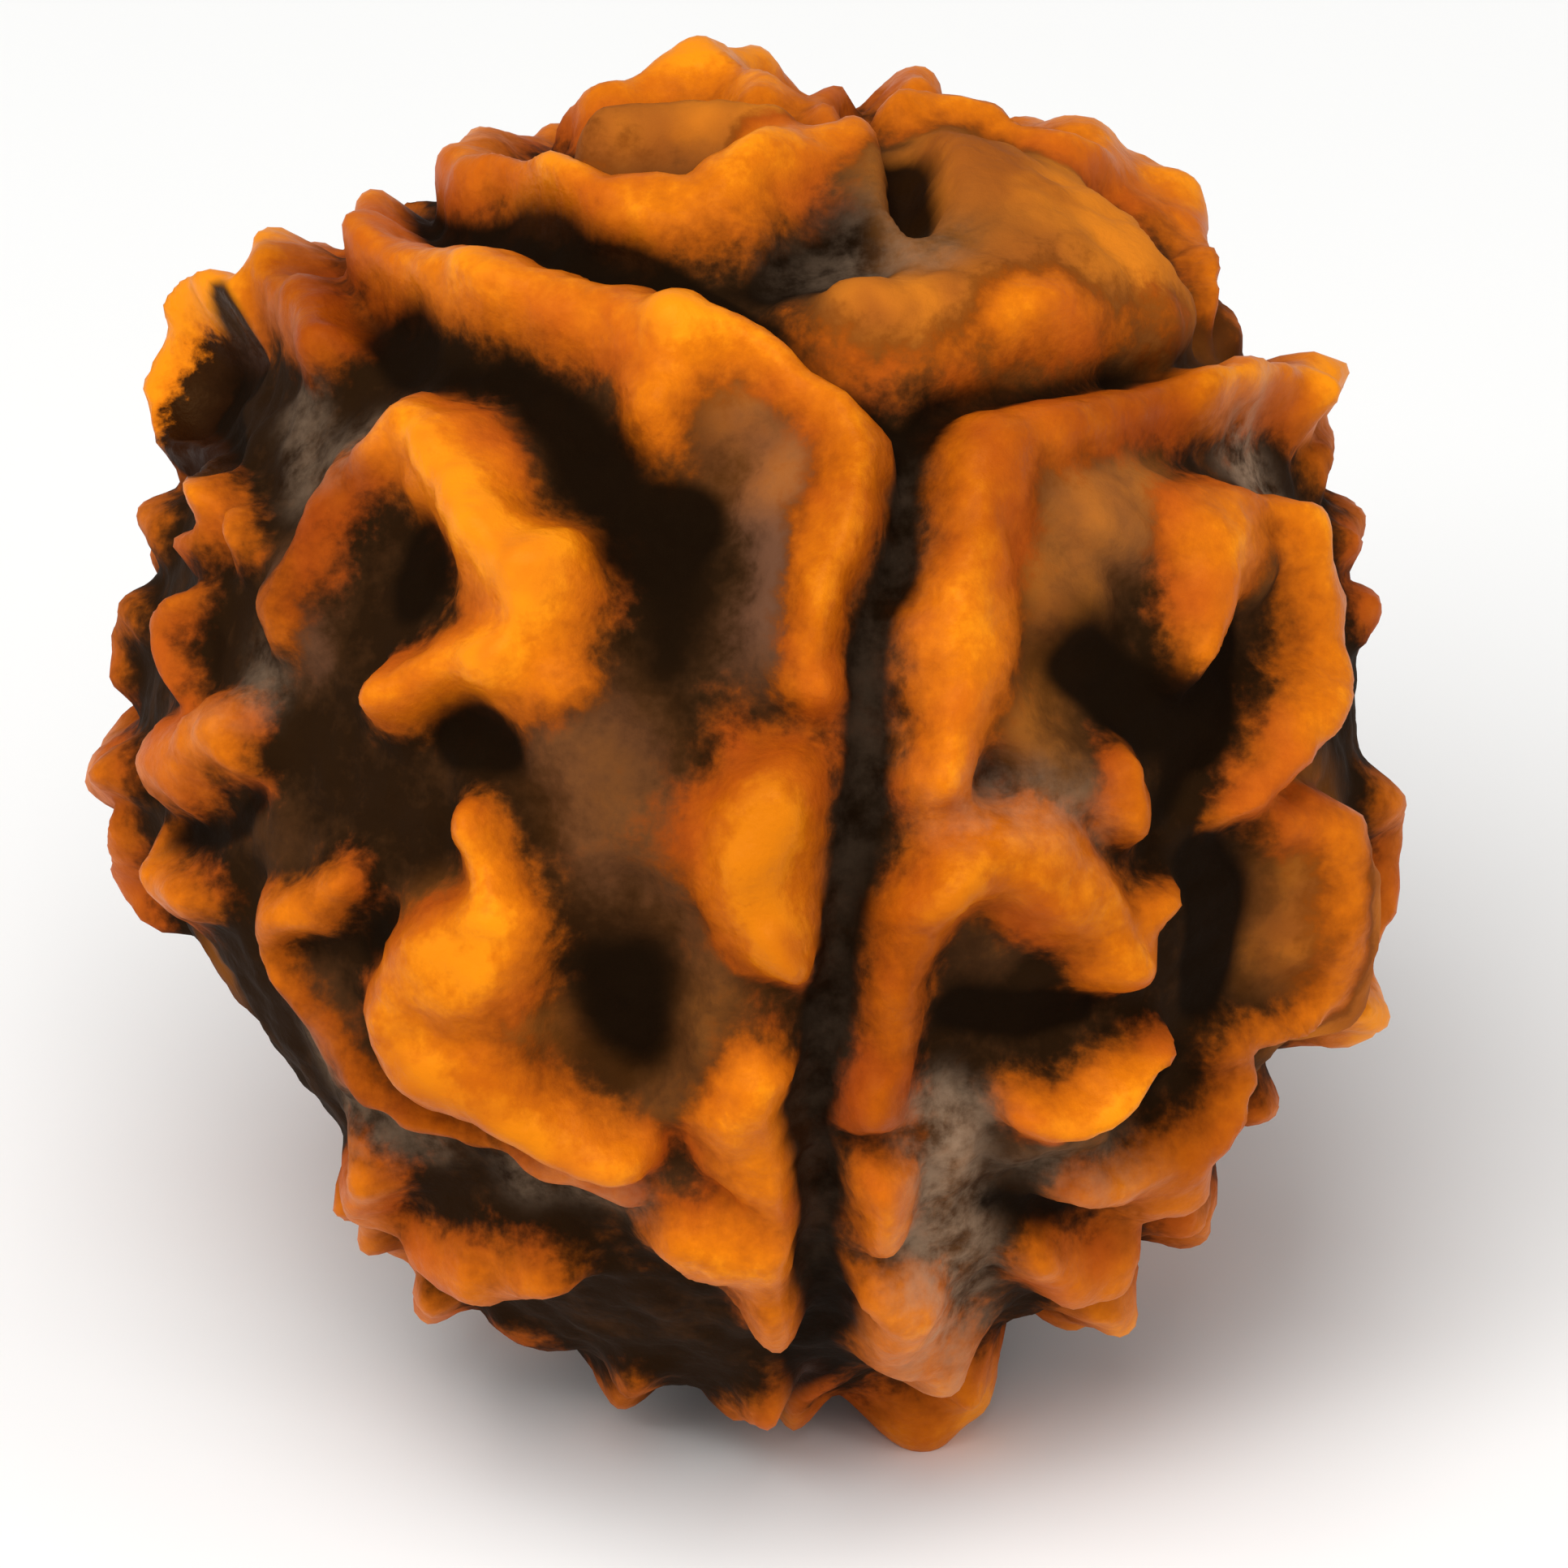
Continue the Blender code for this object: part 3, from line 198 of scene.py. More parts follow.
# Raised floors between the ridges: height, then the middle line
SHELVES: LineTable = {
    "block": (1.4, (2.6, 9.0, 2.0), (3.8, 8.7, 3.0), (5.0, 8.1, 3.0), (5.8, 7.5, 2.2)),
    "block_front": (1.35, (1.7, 6.9, 1.0), (2.5, 6.7, 1.4), (3.5, 7.1, 1.7), (4.8, 7.3, 1.7)),
    "saddle": (1.55, (-2.1, 9.3, 0.9), (-1.0, 9.4, 1.1), (0.3, 9.5, 1.0)),
    "mauve_slope": (0.75, (0.7, 4.6, 1.0), (0.5, 3.6, 1.1), (0.45, 2.3, 1.0), (0.5, 1.4, 0.8)),
    "mauve_mound": (0.55, (-3.9, 5.0, 0.7), (-3.4, 4.6, 0.7)),
    "middle": (0.7, (-2.6, 0.3, 1.3), (-1.9, -0.9, 1.4), (-1.0, -1.9, 1.2)),
    "star_side": (0.6, (-7.4, 2.7, 1.0), (-7.0, 1.7, 0.8)),
    "left_slope": (0.6, (-6.7, -3.4, 0.6), (-5.9, -4.4, 0.7), (-5.2, -5.2, 0.6)),
    "lower_left": (0.6, (-1.7, -6.9, 0.8), (-0.9, -7.1, 0.8)),
    "tan": (0.95, (5.2, 3.4, 0.8), (6.0, 3.3, 0.7)),
    "ochre": (0.75, (3.6, 1.2, 0.9), (4.2, 0.3, 1.0), (4.9, -0.7, 0.9)),
    "brown": (0.7, (4.2, 2.9, 0.9), (4.7, 2.4, 1.0), (5.2, 2.5, 0.8)),
    "dusty": (0.5, (3.0, -6.2, 0.9), (3.2, -7.6, 0.9), (3.3, -9.0, 0.8)),
    "beak_root": (0.8, (4.6, -6.2, 0.8), (5.6, -5.9, 0.7)),
    "ear": (1.5, (8.95, -1.6, 1.3), (9.05, -2.6, 1.5), (8.9, -3.7, 1.3)),
    "band_fill": (0.9, (7.8, 3.0, 0.8), (7.9, 2.5, 0.7)),
    "left_edge": (0.35, (-8.0, -1.0, 0.9), (-7.4, -1.8, 0.8)),
    "arrow_body": (1.1, (-4.2, -2.6, 0.9), (-4.5, -3.5, 1.2), (-3.9, -4.5, 1.0)),
    "bowl_rim": (0.65, (-0.6, -2.6, 0.8), (-0.5, -3.8, 0.8), (-0.7, -5.0, 0.8), (-1.4, -5.7, 0.7)),
    "right_fill": (0.8, (4.5, 4.1, 1.2), (5.4, 3.8, 1.3), (6.3, 3.9, 1.2)),
    "nose_fill": (0.9, (-0.2, 5.2, 0.8), (-1.2, 5.5, 0.9), (-1.9, 5.9, 0.7)),
    "arch_floor": (0.6, (3.4, -2.8, 0.6), (4.0, -3.2, 0.7)),
}

# Hollows and pits that face the viewer: depth, then the middle line
HOLLOWS: LineTable = {
    "brow_shadow": (0.6, (-0.6, 7.3, 0.45), (0.4, 7.6, 0.4), (1.0, 8.1, 0.3)),
    "top_notch": (0.7, (1.75, 10.1, 0.25), (1.8, 9.6, 0.25)),
    "block_pit": (1.6, (2.25, 9.5, 0.38), (2.45, 9.0, 0.5), (2.7, 8.4, 0.42)),
    "block_dimple": (0.85, (6.05, 8.2, 0.36), (6.35, 7.65, 0.42)),
    "corner_gap": (0.8, (-6.2, 7.2, 0.3), (-5.75, 6.4, 0.5)),
    "leaf_hollow": (1.9, (-7.98, 6.56, 0.42), (-8.5, 5.9, 0.7), (-8.78, 5.4, 0.85), (-8.9, 4.95, 0.7),
                    (-8.65, 4.5, 0.4)),
    "upper_valley": (0.3, (-4.6, 6.0, 0.5), (-3.8, 5.8, 0.55), (-2.8, 5.1, 0.8), (-2.0, 4.6, 0.7)),
    "basin": (0.8, (-1.15, 3.9, 0.8), (-1.3, 3.1, 0.78)),
    "basin_low": (0.75, (-1.2, 2.3, 0.75), (-1.25, 1.5, 0.7)),
    "star_eye": (1.2, (-5.2, 3.3, 0.5), (-5.35, 2.7, 0.55), (-5.5, 2.2, 0.45)),
    "star_pit": (1.35, (-4.7, 0.1, 0.5), (-4.1, 0.25, 0.65)),
    "side_dimple": (0.6, (-8.75, 1.85, 0.3), (-8.75, 1.5, 0.35)),
    "mouth": (1.1, (-9.3, -1.3, 0.25), (-8.6, -1.15, 0.28), (-7.9, -0.9, 0.25)),
    "grey_basin": (0.2, (-6.9, 0.6, 0.7), (-6.4, -0.7, 0.9), (-5.3, -1.3, 0.8)),
    "grey_corner": (0.45, (-5.0, -0.9, 0.4), (-4.95, -1.5, 0.45)),
    "hook_pit": (1.1, (-6.1, -2.95, 0.38), (-5.4, -2.65, 0.45)),
    "bowl": (1.0, (-1.95, -3.6, 0.9), (-2.0, -4.4, 0.92)),
    "low_band": (0.45, (-4.4, -6.5, 0.5), (-3.6, -7.2, 0.6), (-2.5, -7.8, 0.55), (-1.6, -8.6, 0.5),
                 (-0.7, -9.2, 0.45)),
    "seam_spur": (0.35, (0.1, 0.35, 0.35), (1.2, 0.3, 0.35)),
    "heart_pit": (1.4, (7.85, 1.6, 0.45), (7.6, 0.9, 0.6), (7.3, 0.2, 0.5)),
    "band_pit": (1.0, (6.95, -0.3, 0.4), (6.75, -0.8, 0.4)),
    "right_basin": (0.6, (5.3, 1.4, 0.6), (5.9, 0.9, 0.7), (6.5, 0.6, 0.6)),
    "pinhole": (0.9, (3.85, -0.45, 0.36), (4.05, -0.5, 0.36)),
    "olive_gap": (0.5, (6.4, -1.0, 0.35), (6.6, -1.7, 0.4)),
    "crescent_eye": (0.35, (3.6, -3.0, 0.5), (3.9, -3.6, 0.6)),
    "crescent_slit": (1.3, (3.6, -4.2, 0.45), (4.4, -4.35, 0.55), (5.3, -4.1, 0.4)),
    "beak_slit": (1.2, (6.9, -4.85, 0.3), (6.4, -5.4, 0.45), (5.8, -5.95, 0.35)),
    "low_slit": (1.1, (4.0, -7.4, 0.3), (4.9, -7.55, 0.35), (5.4, -7.45, 0.3)),
    "ear_basin": (1.4, (7.35, -1.9, 0.6), (7.6, -2.8, 0.75), (7.5, -3.6, 0.6)),
    "ear_slit": (0.7, (8.9, -0.35, 0.22), (9.5, -0.6, 0.22)),
    "pole_pit": (0.5, (2.65, 3.7, 0.14), (2.62, 3.35, 0.16)),
    "under_brow": (1.2, (-4.4, 8.35, 0.26), (-3.4, 8.05, 0.36), (-2.4, 7.7, 0.4), (-1.4, 7.45, 0.34)),
}

# Ridges at the edge of the front view: height, then (clock, away, half width)
EDGE_RIDGES: LineTable = {
    "right_ledge": (0.85, (13.0, -0.8, 0.5), (13.5, 1.0, 0.45), (15, 3.0, 0.5)),
    "right_tooth": (1.0, (20, -1.0, 0.35), (19.5, 0.0, 0.4), (24, 1.6, 0.45)),
    "right_lobe": (0.95, (26.5, -1.2, 0.45), (27.5, 0.5, 0.45), (32, 2.4, 0.5)),
    "spur_tip": (1.85, (32.0, -2.0, 0.45), (31.2, -0.3, 0.48), (33, 1.6, 0.45)),
    "shoulder_back": (1.35, (52.0, -0.5, 0.8), (53.0, 1.2, 0.9), (54, 3.4, 0.7)),
    "shoulder_top": (1.35, (62, -0.2, 0.9), (66, 1.6, 0.9), (60, 3.4, 0.7)),
    "shoulder_end": (1.3, (75, -0.6, 0.6), (76, 1.0, 0.6), (74, 3.0, 0.5)),
    "tooth_back": (1.0, (82.5, -1.2, 0.32), (83, 0.4, 0.34), (85, 2.2, 0.45)),
    "cap_back": (1.6, (97, -0.8, 0.6), (92, 0.2, 0.7), (90, 2.0, 0.7), (96, 3.6, 0.6)),
    "cap_side": (1.1, (104, -0.8, 0.6), (103, 0.8, 0.7)),
    "brow_back": (1.2, (115.5, -1.4, 0.45), (113, 0.2, 0.65), (108.5, 2.2, 0.65)),
    "lobe_back": (1.2, (125, -2.0, 0.55), (124, -0.2, 0.6), (126, 2.0, 0.55)),
    "knob_back": (1.3, (134, -1.6, 0.55), (133.5, 0.0, 0.5), (131, 1.8, 0.5)),
    "leaf_back": (2.0, (138.5, -1.2, 0.4), (141.5, 0.2, 0.42), (146, 0.5, 0.42), (149.5, 0.2, 0.28)),
    "left_small": (0.85, (159.5, -1.0, 0.42), (158, 0.6, 0.45), (162, 2.2, 0.5)),
    "leg_side": (1.75, (289.5, 0.2, 0.55), (289, 1.4, 0.6)),
    "left_lobe": (0.75, (167, -1.0, 0.45), (170.5, 0.2, 0.45), (174, -0.2, 0.4)),
    "left_bulge": (1.1, (182, -1.6, 0.55), (183, 0.2, 0.6), (180, 2.2, 0.6)),
    "left_cheek": (1.05, (189, -1.0, 0.5), (191.5, 0.4, 0.5), (194, -0.2, 0.36)),
    "knob_edge": (1.15, (229, -1.0, 0.5), (231, 0.4, 0.55), (234, 2.0, 0.5)),
    "pad_edge": (1.15, (239, -1.2, 0.55), (240.5, 0.4, 0.52), (238, 2.4, 0.5)),
    "bump_edge": (0.55, (248, -1.2, 0.5), (248, 0.6, 0.45)),
    "spike": (0.9, (259.5, -1.6, 0.48), (260, 0.2, 0.48), (259, 2.2, 0.5)),
    "front_foot": (1.3, (272, -1.6, 0.55), (272.5, 0.2, 0.75), (272, 1.6, 0.6)),
    "pad_back": (1.4, (302.5, -1.4, 0.6), (303.5, 0.4, 0.7), (300, 2.2, 0.6)),
    "shelf_back": (1.05, (313, -1.4, 0.5), (314, 0.4, 0.55), (312, 2.4, 0.5)),
    "wall_knob": (1.0, (325, -1.2, 0.4), (325, 0.2, 0.42)),
    "ear_lower": (1.6, (336.5, -1.2, 0.55), (336.3, 0.4, 0.62), (335, 2.2, 0.5)),
    "ear_outer": (1.05, (340, 0.2, 0.5), (347, 0.2, 0.55), (353.5, 0.2, 0.5), (354, -1.2, 0.4)),
    "shoulder_mid": (1.2, (59.0, -0.3, 0.7), (59.0, 1.2, 0.8), (57, 3.4, 0.6)),
    "neck": (0.55, (42.0, -1.0, 0.7), (43.5, 0.8, 0.7)),
}

# Seams from the near pole over the front, where each then runs on to the far pole
SEAMS: dict[str, tuple[Place, ...]] = {
    "down": ((2.6, 4.1, 0.33), (2.5, 2.8, 0.3), (2.1, 1.5, 0.33), (1.8, 0.3, 0.36), (1.8, -1.0, 0.36),
             (1.8, -2.0, 0.36), (1.5, -3.2, 0.42), (1.05, -4.1, 0.46), (0.95, -5.1, 0.46), (1.0, -6.0, 0.42),
             (1.05, -7.2, 0.42), (1.2, -8.4, 0.45), (1.35, -9.4, 0.5)),
    "upper_left": ((1.7, 5.5, 0.2), (0.9, 6.05, 0.2), (0.3, 6.6, 0.22), (-0.6, 7.2, 0.36),
                   (-1.8, 7.65, 0.4), (-2.8, 8.0, 0.42), (-3.8, 8.3, 0.4), (-4.7, 8.4, 0.3),
                   (-5.6, 8.9, 0.25)),
    "upper_right": ((3.4, 5.4, 0.26), (4.5, 5.75, 0.22), (5.6, 5.95, 0.22), (6.4, 6.15, 0.18),
                    (7.2, 6.6, 0.1)),
}

# Phase of the slow wander of each seam over the far side
SEAM_PHASES: dict[str, float] = {"down": 0.3, "upper_left": 2.0, "upper_right": 4.1}

# Feet: (across, away) of the point of rest from the middle, in the part frame, and half width
FEET: tuple[Place, ...] = ((2.8, -4.1, 1.15), (0.5, 3.4, 0.9), (-3.2, -0.4, 0.85))

# Stains. Patches where pale dust has settled, one of them partly a painted highlight: strength, then the
# middle line
DUST: LineTable = {
    "star_flank": (0.8, (-6.6, 4.4, 0.6), (-6.0, 5.0, 0.6)),
    "leaf_foot": (0.6, (-7.4, 5.6, 0.6), (-7.2, 4.6, 0.7)),
    "left_slope": (0.8, (-6.6, -4.1, 0.5), (-5.8, -5.2, 0.6), (-5.0, -6.0, 0.5)),
    # Partly dust and partly a painted highlight, laid strong to lighten ground that lies in shade
    "pale_end_highlight": (2.0, (7.9, 5.0, 0.5), (8.4, 4.4, 0.6), (8.8, 3.9, 0.5)),
    "lower_right": (1.3, (3.0, -5.9, 0.6), (3.1, -7.6, 0.8), (3.2, -9.0, 0.7)),
    "shelf_top": (0.6, (4.6, -6.6, 0.5), (5.6, -6.7, 0.5)),
    "middle_right": (0.6, (3.3, -0.8, 0.5), (4.4, -0.9, 0.6), (5.2, -1.4, 0.5)),
    "block_floor": (0.5, (1.6, 7.9, 0.8), (2.6, 7.8, 0.7)),
    "left_rim": (0.6, (-8.0, 1.4, 0.5), (-7.9, 0.8, 0.5)),
    "leg": (0.9, (2.9, -8.6, 0.6), (3.1, -9.6, 0.7)),
    "low_left": (0.8, (-3.6, -6.9, 0.5), (-2.2, -6.9, 0.6)),
    "seam": (0.13, (2.6, 4.2, 0.5), (2.4, 2.6, 0.5), (2.0, 0.8, 0.5), (1.8, -1.0, 0.4),
             (1.2, -3.6, 0.4), (1.0, -6.0, 0.5), (1.2, -8.6, 0.5)),
}

# Ground of a warm, mauve brown: strength, then the middle line
MAUVE: LineTable = {
    "lip_floor": (1.0, (0.7, 4.6, 1.0), (0.5, 3.4, 1.1), (0.4, 2.2, 1.0)),
    "middle": (0.4, (-2.8, 0.2, 1.3), (-1.8, -1.2, 1.4), (-1.0, -2.2, 1.2)),
    "left": (0.6, (-7.2, 2.4, 1.0), (-6.8, 1.2, 0.9)),
    "right": (0.6, (5.0, 3.8, 1.0), (6.0, 3.6, 1.0)),
}

# Raised ground that is worn as brown and orange as the ridges: strength, then the middle line
RUST: LineTable = {
    "saddle": (0.8, (-2.3, 9.1, 0.9), (-1.1, 9.2, 1.0), (0.3, 9.4, 0.9)),
    "block": (1.1, (3.2, 9.2, 1.2), (4.8, 8.4, 1.6), (5.6, 7.6, 1.2)),
    "block_front": (1.0, (1.9, 6.6, 0.9), (3.2, 6.6, 0.9), (4.6, 7.0, 0.9)),
    "ear": (1.5, (9.0, -1.4, 1.2), (9.1, -2.6, 1.4), (9.0, -3.8, 1.2)),
    "bank": (0.5, (4.4, 4.2, 1.1), (4.6, 3.0, 1.0), (4.2, 0.8, 0.9)),
    "middle": (0.15, (-2.6, 0.2, 1.2), (-1.8, -1.2, 1.3), (-1.2, -2.4, 1.0)),
    "bowl_rim": (0.2, (-0.7, -2.8, 0.8), (-0.5, -4.0, 0.8), (-1.0, -5.3, 0.8), (-2.0, -5.6, 0.7)),
    "neck": (1.0, (7.4, 6.8, 0.7), (7.9, 7.3, 0.7)),
    "left_limb": (1.0, (-8.9, -3.2, 0.6), (-8.2, -4.3, 0.7), (-7.2, -5.6, 0.7)),
    "tan": (0.5, (5.2, 3.9, 0.9), (6.4, 3.9, 0.9)),
    "arrow": (0.8, (-4.2, -2.8, 0.8), (-4.4, -3.6, 1.0), (-3.6, -4.8, 0.9)),
    "nose": (0.5, (-0.4, 5.0, 0.8), (0.3, 4.4, 0.8)),
}

# Ridges that are coloured browner than the rest: strength, then the middle line
BROWN: LineTable = {
    "corner_knob": (0.9, (-6.9, 7.4, 0.8), (-6.5, 6.6, 0.9)),
    "cap": (0.7, (-2.4, 9.4, 0.6), (-1.4, 9.7, 0.6), (-0.6, 9.5, 0.6)),
    "ring_left": (0.7, (-6.3, 4.2, 0.5), (-6.9, 3.2, 0.6), (-7.0, 2.4, 0.6)),
    "right_bank": (0.5, (3.6, 4.6, 0.7), (3.7, 3.4, 0.8)),
    "lip_low": (0.45, (1.5, 4.4, 0.7), (1.4, 3.2, 0.7), (1.1, 2.0, 0.7)),
    "arrow_low": (0.45, (-5.4, -4.3, 0.7), (-4.4, -4.6, 0.8), (-3.2, -5.4, 0.7)),
    "ridge_end": (0.6, (5.0, 5.1, 0.8), (6.4, 5.3, 0.8)),
    "limb": (0.7, (2.5, -3.0, 0.8), (2.3, -4.4, 0.8), (2.0, -5.6, 0.8)),
    "wall": (0.5, (7.3, -5.0, 0.7), (6.4, -6.4, 0.8)),
    "outer_lip": (0.6, (-6.6, -3.8, 0.6), (-4.6, -5.8, 0.6)),
    "drop": (0.6, (0.1, -0.8, 1.1), (0.3, -2.2, 1.1), (0.5, -3.4, 0.8)),
    "arch": (0.45, (2.8, -2.2, 0.8), (3.9, -1.8, 0.8), (5.2, -2.6, 0.8)),
    "arrow": (0.3, (-4.2, -2.8, 0.8), (-4.6, -3.8, 0.8)),
    "crest_right": (0.4, (5.7, -0.6, 0.6), (5.4, 1.0, 0.7)),
}

# Painted shade: black patches on the ground and at the feet of the ridges, in hollows where shade falls:
# strength, then the middle line
SHADE_PATCHES: LineTable = {
    "leaf": (1.6, (-8.0, 6.7, 0.5), (-8.5, 6.1, 0.6), (-8.9, 5.4, 0.6), (-8.8, 4.9, 0.4)),
    "crown_valley": (0.8, (-4.2, 5.9, 0.5), (-3.2, 5.2, 0.7), (-2.2, 4.2, 0.8), (-1.5, 3.4, 0.8)),
    "knob_foot": (0.8, (-5.7, 6.6, 0.6), (-5.0, 6.1, 0.6)),
    "block_floor": (0.9, (1.3, 8.3, 0.5), (0.9, 7.7, 0.6), (1.6, 7.5, 0.5)),
    "middle": (0.45, (-2.4, 0.2, 1.0), (-1.7, -1.0, 1.0), (-1.3, -2.0, 0.8)),
    "right_fill": (0.35, (4.4, 3.9, 0.8), (5.2, 3.0, 0.8)),
    "heart_foot": (0.8, (5.2, 1.8, 0.8), (6.2, 1.0, 0.8), (7.2, 0.6, 0.6)),
}


class Written(Enum):
    """How the places of a line are written."""

    FRONT = "across, up"
    EDGE = "clock, away"


def unit(vector: np.ndarray | Place) -> np.ndarray:
    """The vector, or each row of an array, at length one."""
    vector = np.asarray(vector, float)
    return vector / np.linalg.norm(vector, axis=-1, keepdims=True)


def lean(points: np.ndarray, degrees: float) -> np.ndarray:
    """Turns points about the across axis.

    Args:
        points: Points or directions, one a row.
        degrees: The turn, which is TILT_DEG from the front frame to the part frame.

    Returns:
        The turned points.
    """
    c, s = math.cos(math.radians(degrees)), math.sin(math.radians(degrees))
    x, y, z = np.moveaxis(np.asarray(points, float), -1, 0)
    return np.stack([x, y * c + z * s, z * c - y * s], axis=-1)


def swing(vector: np.ndarray, axis: np.ndarray, angle: float) -> np.ndarray:
    """The vector turned about a unit axis."""
    c, s = math.cos(angle), math.sin(angle)
    return vector * c + np.cross(axis, vector) * s + axis * (axis @ vector) * (1 - c)


def smooth(share: np.ndarray) -> np.ndarray:
    """An easy step from 0 to 1."""
    share = np.clip(share, 0, 1)
    return share * share * (3 - 2 * share)


def body_radius(directions: np.ndarray) -> np.ndarray:
    """Radius of the bare body, before its ridges.

    Args:
        directions: Unit directions of the front frame.

    Returns:
        One radius a direction, in millimetres.
    """
    radius = 1 / np.sqrt(((directions / BODY_SEMI_AXES) ** 2).sum(axis=-1))
    for middle, height, spread in SWELLS:
        gap = np.linalg.norm(directions - unit(middle), axis=-1) * MEAN_RADIUS
        radius = radius + height * np.exp(-((gap / spread) ** 2))
    return radius


def rounded_line(points: tuple[Place, ...], steps: int = 3) -> np.ndarray:
    """Draws a smooth curve through the points of a line.

    Args:
        points: The places, which may hold a half width as their last number.
        steps: New points for each stretch.

    Returns:
        The points of the curve, one a row.
    """
    given = np.asarray(points, float)
    ends = np.vstack([2 * given[0] - given[1], given, 2 * given[-1] - given[-2]])
    line = []
    for a, b, c, d in zip(ends[:-3], ends[1:-2], ends[2:-1], ends[3:]):
        for t in np.arange(steps) / steps:
            line.append(b + t * (c - a) / 2 + t**2 * (2 * a - 5 * b + 4 * c - d) / 2
                        + t**3 * (3 * b - a - 3 * c + d) / 2)
    return np.vstack([line, given[-1]])


def front_direction(across: float, up: float) -> np.ndarray:
    """Finds the place that is seen from the front at (across, up).

    Args:
        across: Millimetres to the right of the stone's middle.
        up: Millimetres above it.

    Returns:
        The unit direction of that place.
    """
    rim = float(body_radius(unit((across, 0, up)))) + CREST_HEIGHT
    share = min(math.hypot(across, up) / rim, 1.0)
    return unit((across, -FRONT_DEPTH * math.sqrt(1 - share**2), up))


def laid_line(points: tuple[Place, ...], written: Written) -> tuple[np.ndarray, np.ndarray]:
    """Turns a written line into directions.

    Args:
        points: The places with their half widths.
        written: How the places are written.

    Returns:
        The directions and the half widths.
    """
    line = rounded_line(points)
    if written is Written.FRONT:
        return np.array([front_direction(across, up) for across, up, _ in line]), line[:, 2]
    clock, away = np.radians(line[:, 0]), line[:, 1]
    out = np.sqrt(MEAN_RADIUS**2 - away**2)
    return unit(np.stack([np.cos(clock) * out, away, np.sin(clock) * out], axis=-1)), line[:, 2]


def bell(share: np.ndarray, flatness: float, softness: float) -> np.ndarray:
    """A section that falls from 1 in the middle to 0 at the rim.

    Args:
        share: Distance from the middle line, as a share of the half width.
        flatness: How flat the top is.
        softness: How softly the rim meets the ground.

    Returns:
        The share of the height at each distance.
    """
    return (1 - np.clip(share, 0, 1) ** flatness) ** softness


def crest(share: np.ndarray) -> np.ndarray:
    """Section of a ridge: a rounded crest of half width 1 on a skirt that spreads to twice that."""
    return CREST_PART * bell(share, 2.2, 1.5) + SKIRT_PART * bell(share / 2, 2, 2)


def dip(share: np.ndarray) -> np.ndarray:
    """Section of a hollow or a seam: a flat-bottomed trough."""
    return bell(share, 2.6, 1.6)


def patch(share: np.ndarray) -> np.ndarray:
    """Section of a stain, and of a patch of painted shade: full in the middle and soft at its rim."""
    return bell(share, 2, 1.2)


class Waves:
    """Gentle noise: a seeded sum of plane waves of about one wavelength, with values mostly within 1."""

    # How many waves are summed, and the range of how closely they follow each other
    COUNT = 28
    RATES = (0.75, 1.3)

    def __init__(self, rng: np.random.Generator, wavelength: float) -> None:
        """Draws the waves.

        Args:
            rng: The seeded source of the draws.
            wavelength: In millimetres.
        """
        headings = unit(rng.normal(size=(self.COUNT, 3)))
        self.ways = headings * rng.uniform(*self.RATES, (self.COUNT, 1)) * math.tau / wavelength
        self.phases = rng.uniform(0, math.tau, self.COUNT)

    def at(self, points: np.ndarray) -> np.ndarray:
        """The noise at each point."""
        return np.sin(points @ self.ways.T + self.phases).sum(axis=1) / math.sqrt(self.COUNT)


class Relief:
    """Lines of one kind laid over the same directions, and blended so that neighbours join softly."""

    # Slack round each stretch of a line, the widest angle that is searched in radians, and the least length
    # that a stretch counts as having, squared
    MARGIN = 1.1
    WIDEST = 3
    SHORTEST = 1e-12

    def __init__(self, directions: np.ndarray, waver: np.ndarray, section: Section, reach: float,
                 spread: float) -> None:
        """Starts with nothing laid.

        Args:
            directions: Where the relief is worked out.
            waver: How much narrower than written a line is at each direction.
            section: The height share at a share of the half width.
            reach: How many half widths away a line is still felt.
            spread: How much wider than written the lines are.
        """
        self.directions = directions
        self.waver = waver
        self.section = section
        self.reach = reach
        self.spread = spread
        self.total = np.zeros(len(directions))

    def lay(self, line: np.ndarray, widths: np.ndarray, heights: np.ndarray | float) -> None:
        """Adds one line whose half width and height change along it.

        Args:
            line: Directions along the line.
            widths: The half width at each of them.
            heights: The height at each of them, or one for all.
        """
        widths = widths * self.spread
        heights = np.broadcast_to(heights, len(line))
        best = np.zeros(len(self.directions))
        for k in range(len(line) - 1):
            middle = unit(line[k] + line[k + 1])
            wide = max(widths[k], widths[k + 1]) * self.reach / MEAN_RADIUS
            span = wide + np.linalg.norm(line[k + 1] - line[k]) / 2
            close = math.cos(min(span * self.MARGIN, self.WIDEST))
            near = np.nonzero(self.directions @ middle > close)[0]
            from_start = (self.directions[near] - line[k]) * MEAN_RADIUS
            stretch = (line[k + 1] - line[k]) * MEAN_RADIUS
            along = np.clip(from_start @ stretch / max(stretch @ stretch, self.SHORTEST), 0, 1)
            gap = np.linalg.norm(from_start - along[:, None] * stretch, axis=1)
            width = widths[k] + (widths[k + 1] - widths[k]) * along
            height = heights[k] + (heights[k + 1] - heights[k]) * along
            best[near] = np.maximum(best[near], height * self.section(gap / width * self.waver[near]))
        self.total += best**BLEND

    def lay_table(self, table: LineTable, written: Written = Written.FRONT) -> list[np.ndarray]:
        """Adds every line of a table.

        Args:
            table: Height, then places, by name.
            written: How the places are written.

        Returns:
            The directions along each line.
        """
        laid = []
        for height, *points in table.values():
            line, widths = laid_line(tuple(points), written)
            self.lay(line, widths, height)
            laid.append(line)
        return laid

    def height(self) -> np.ndarray:
        """The blended height at each direction."""
        return self.total ** (1 / BLEND)


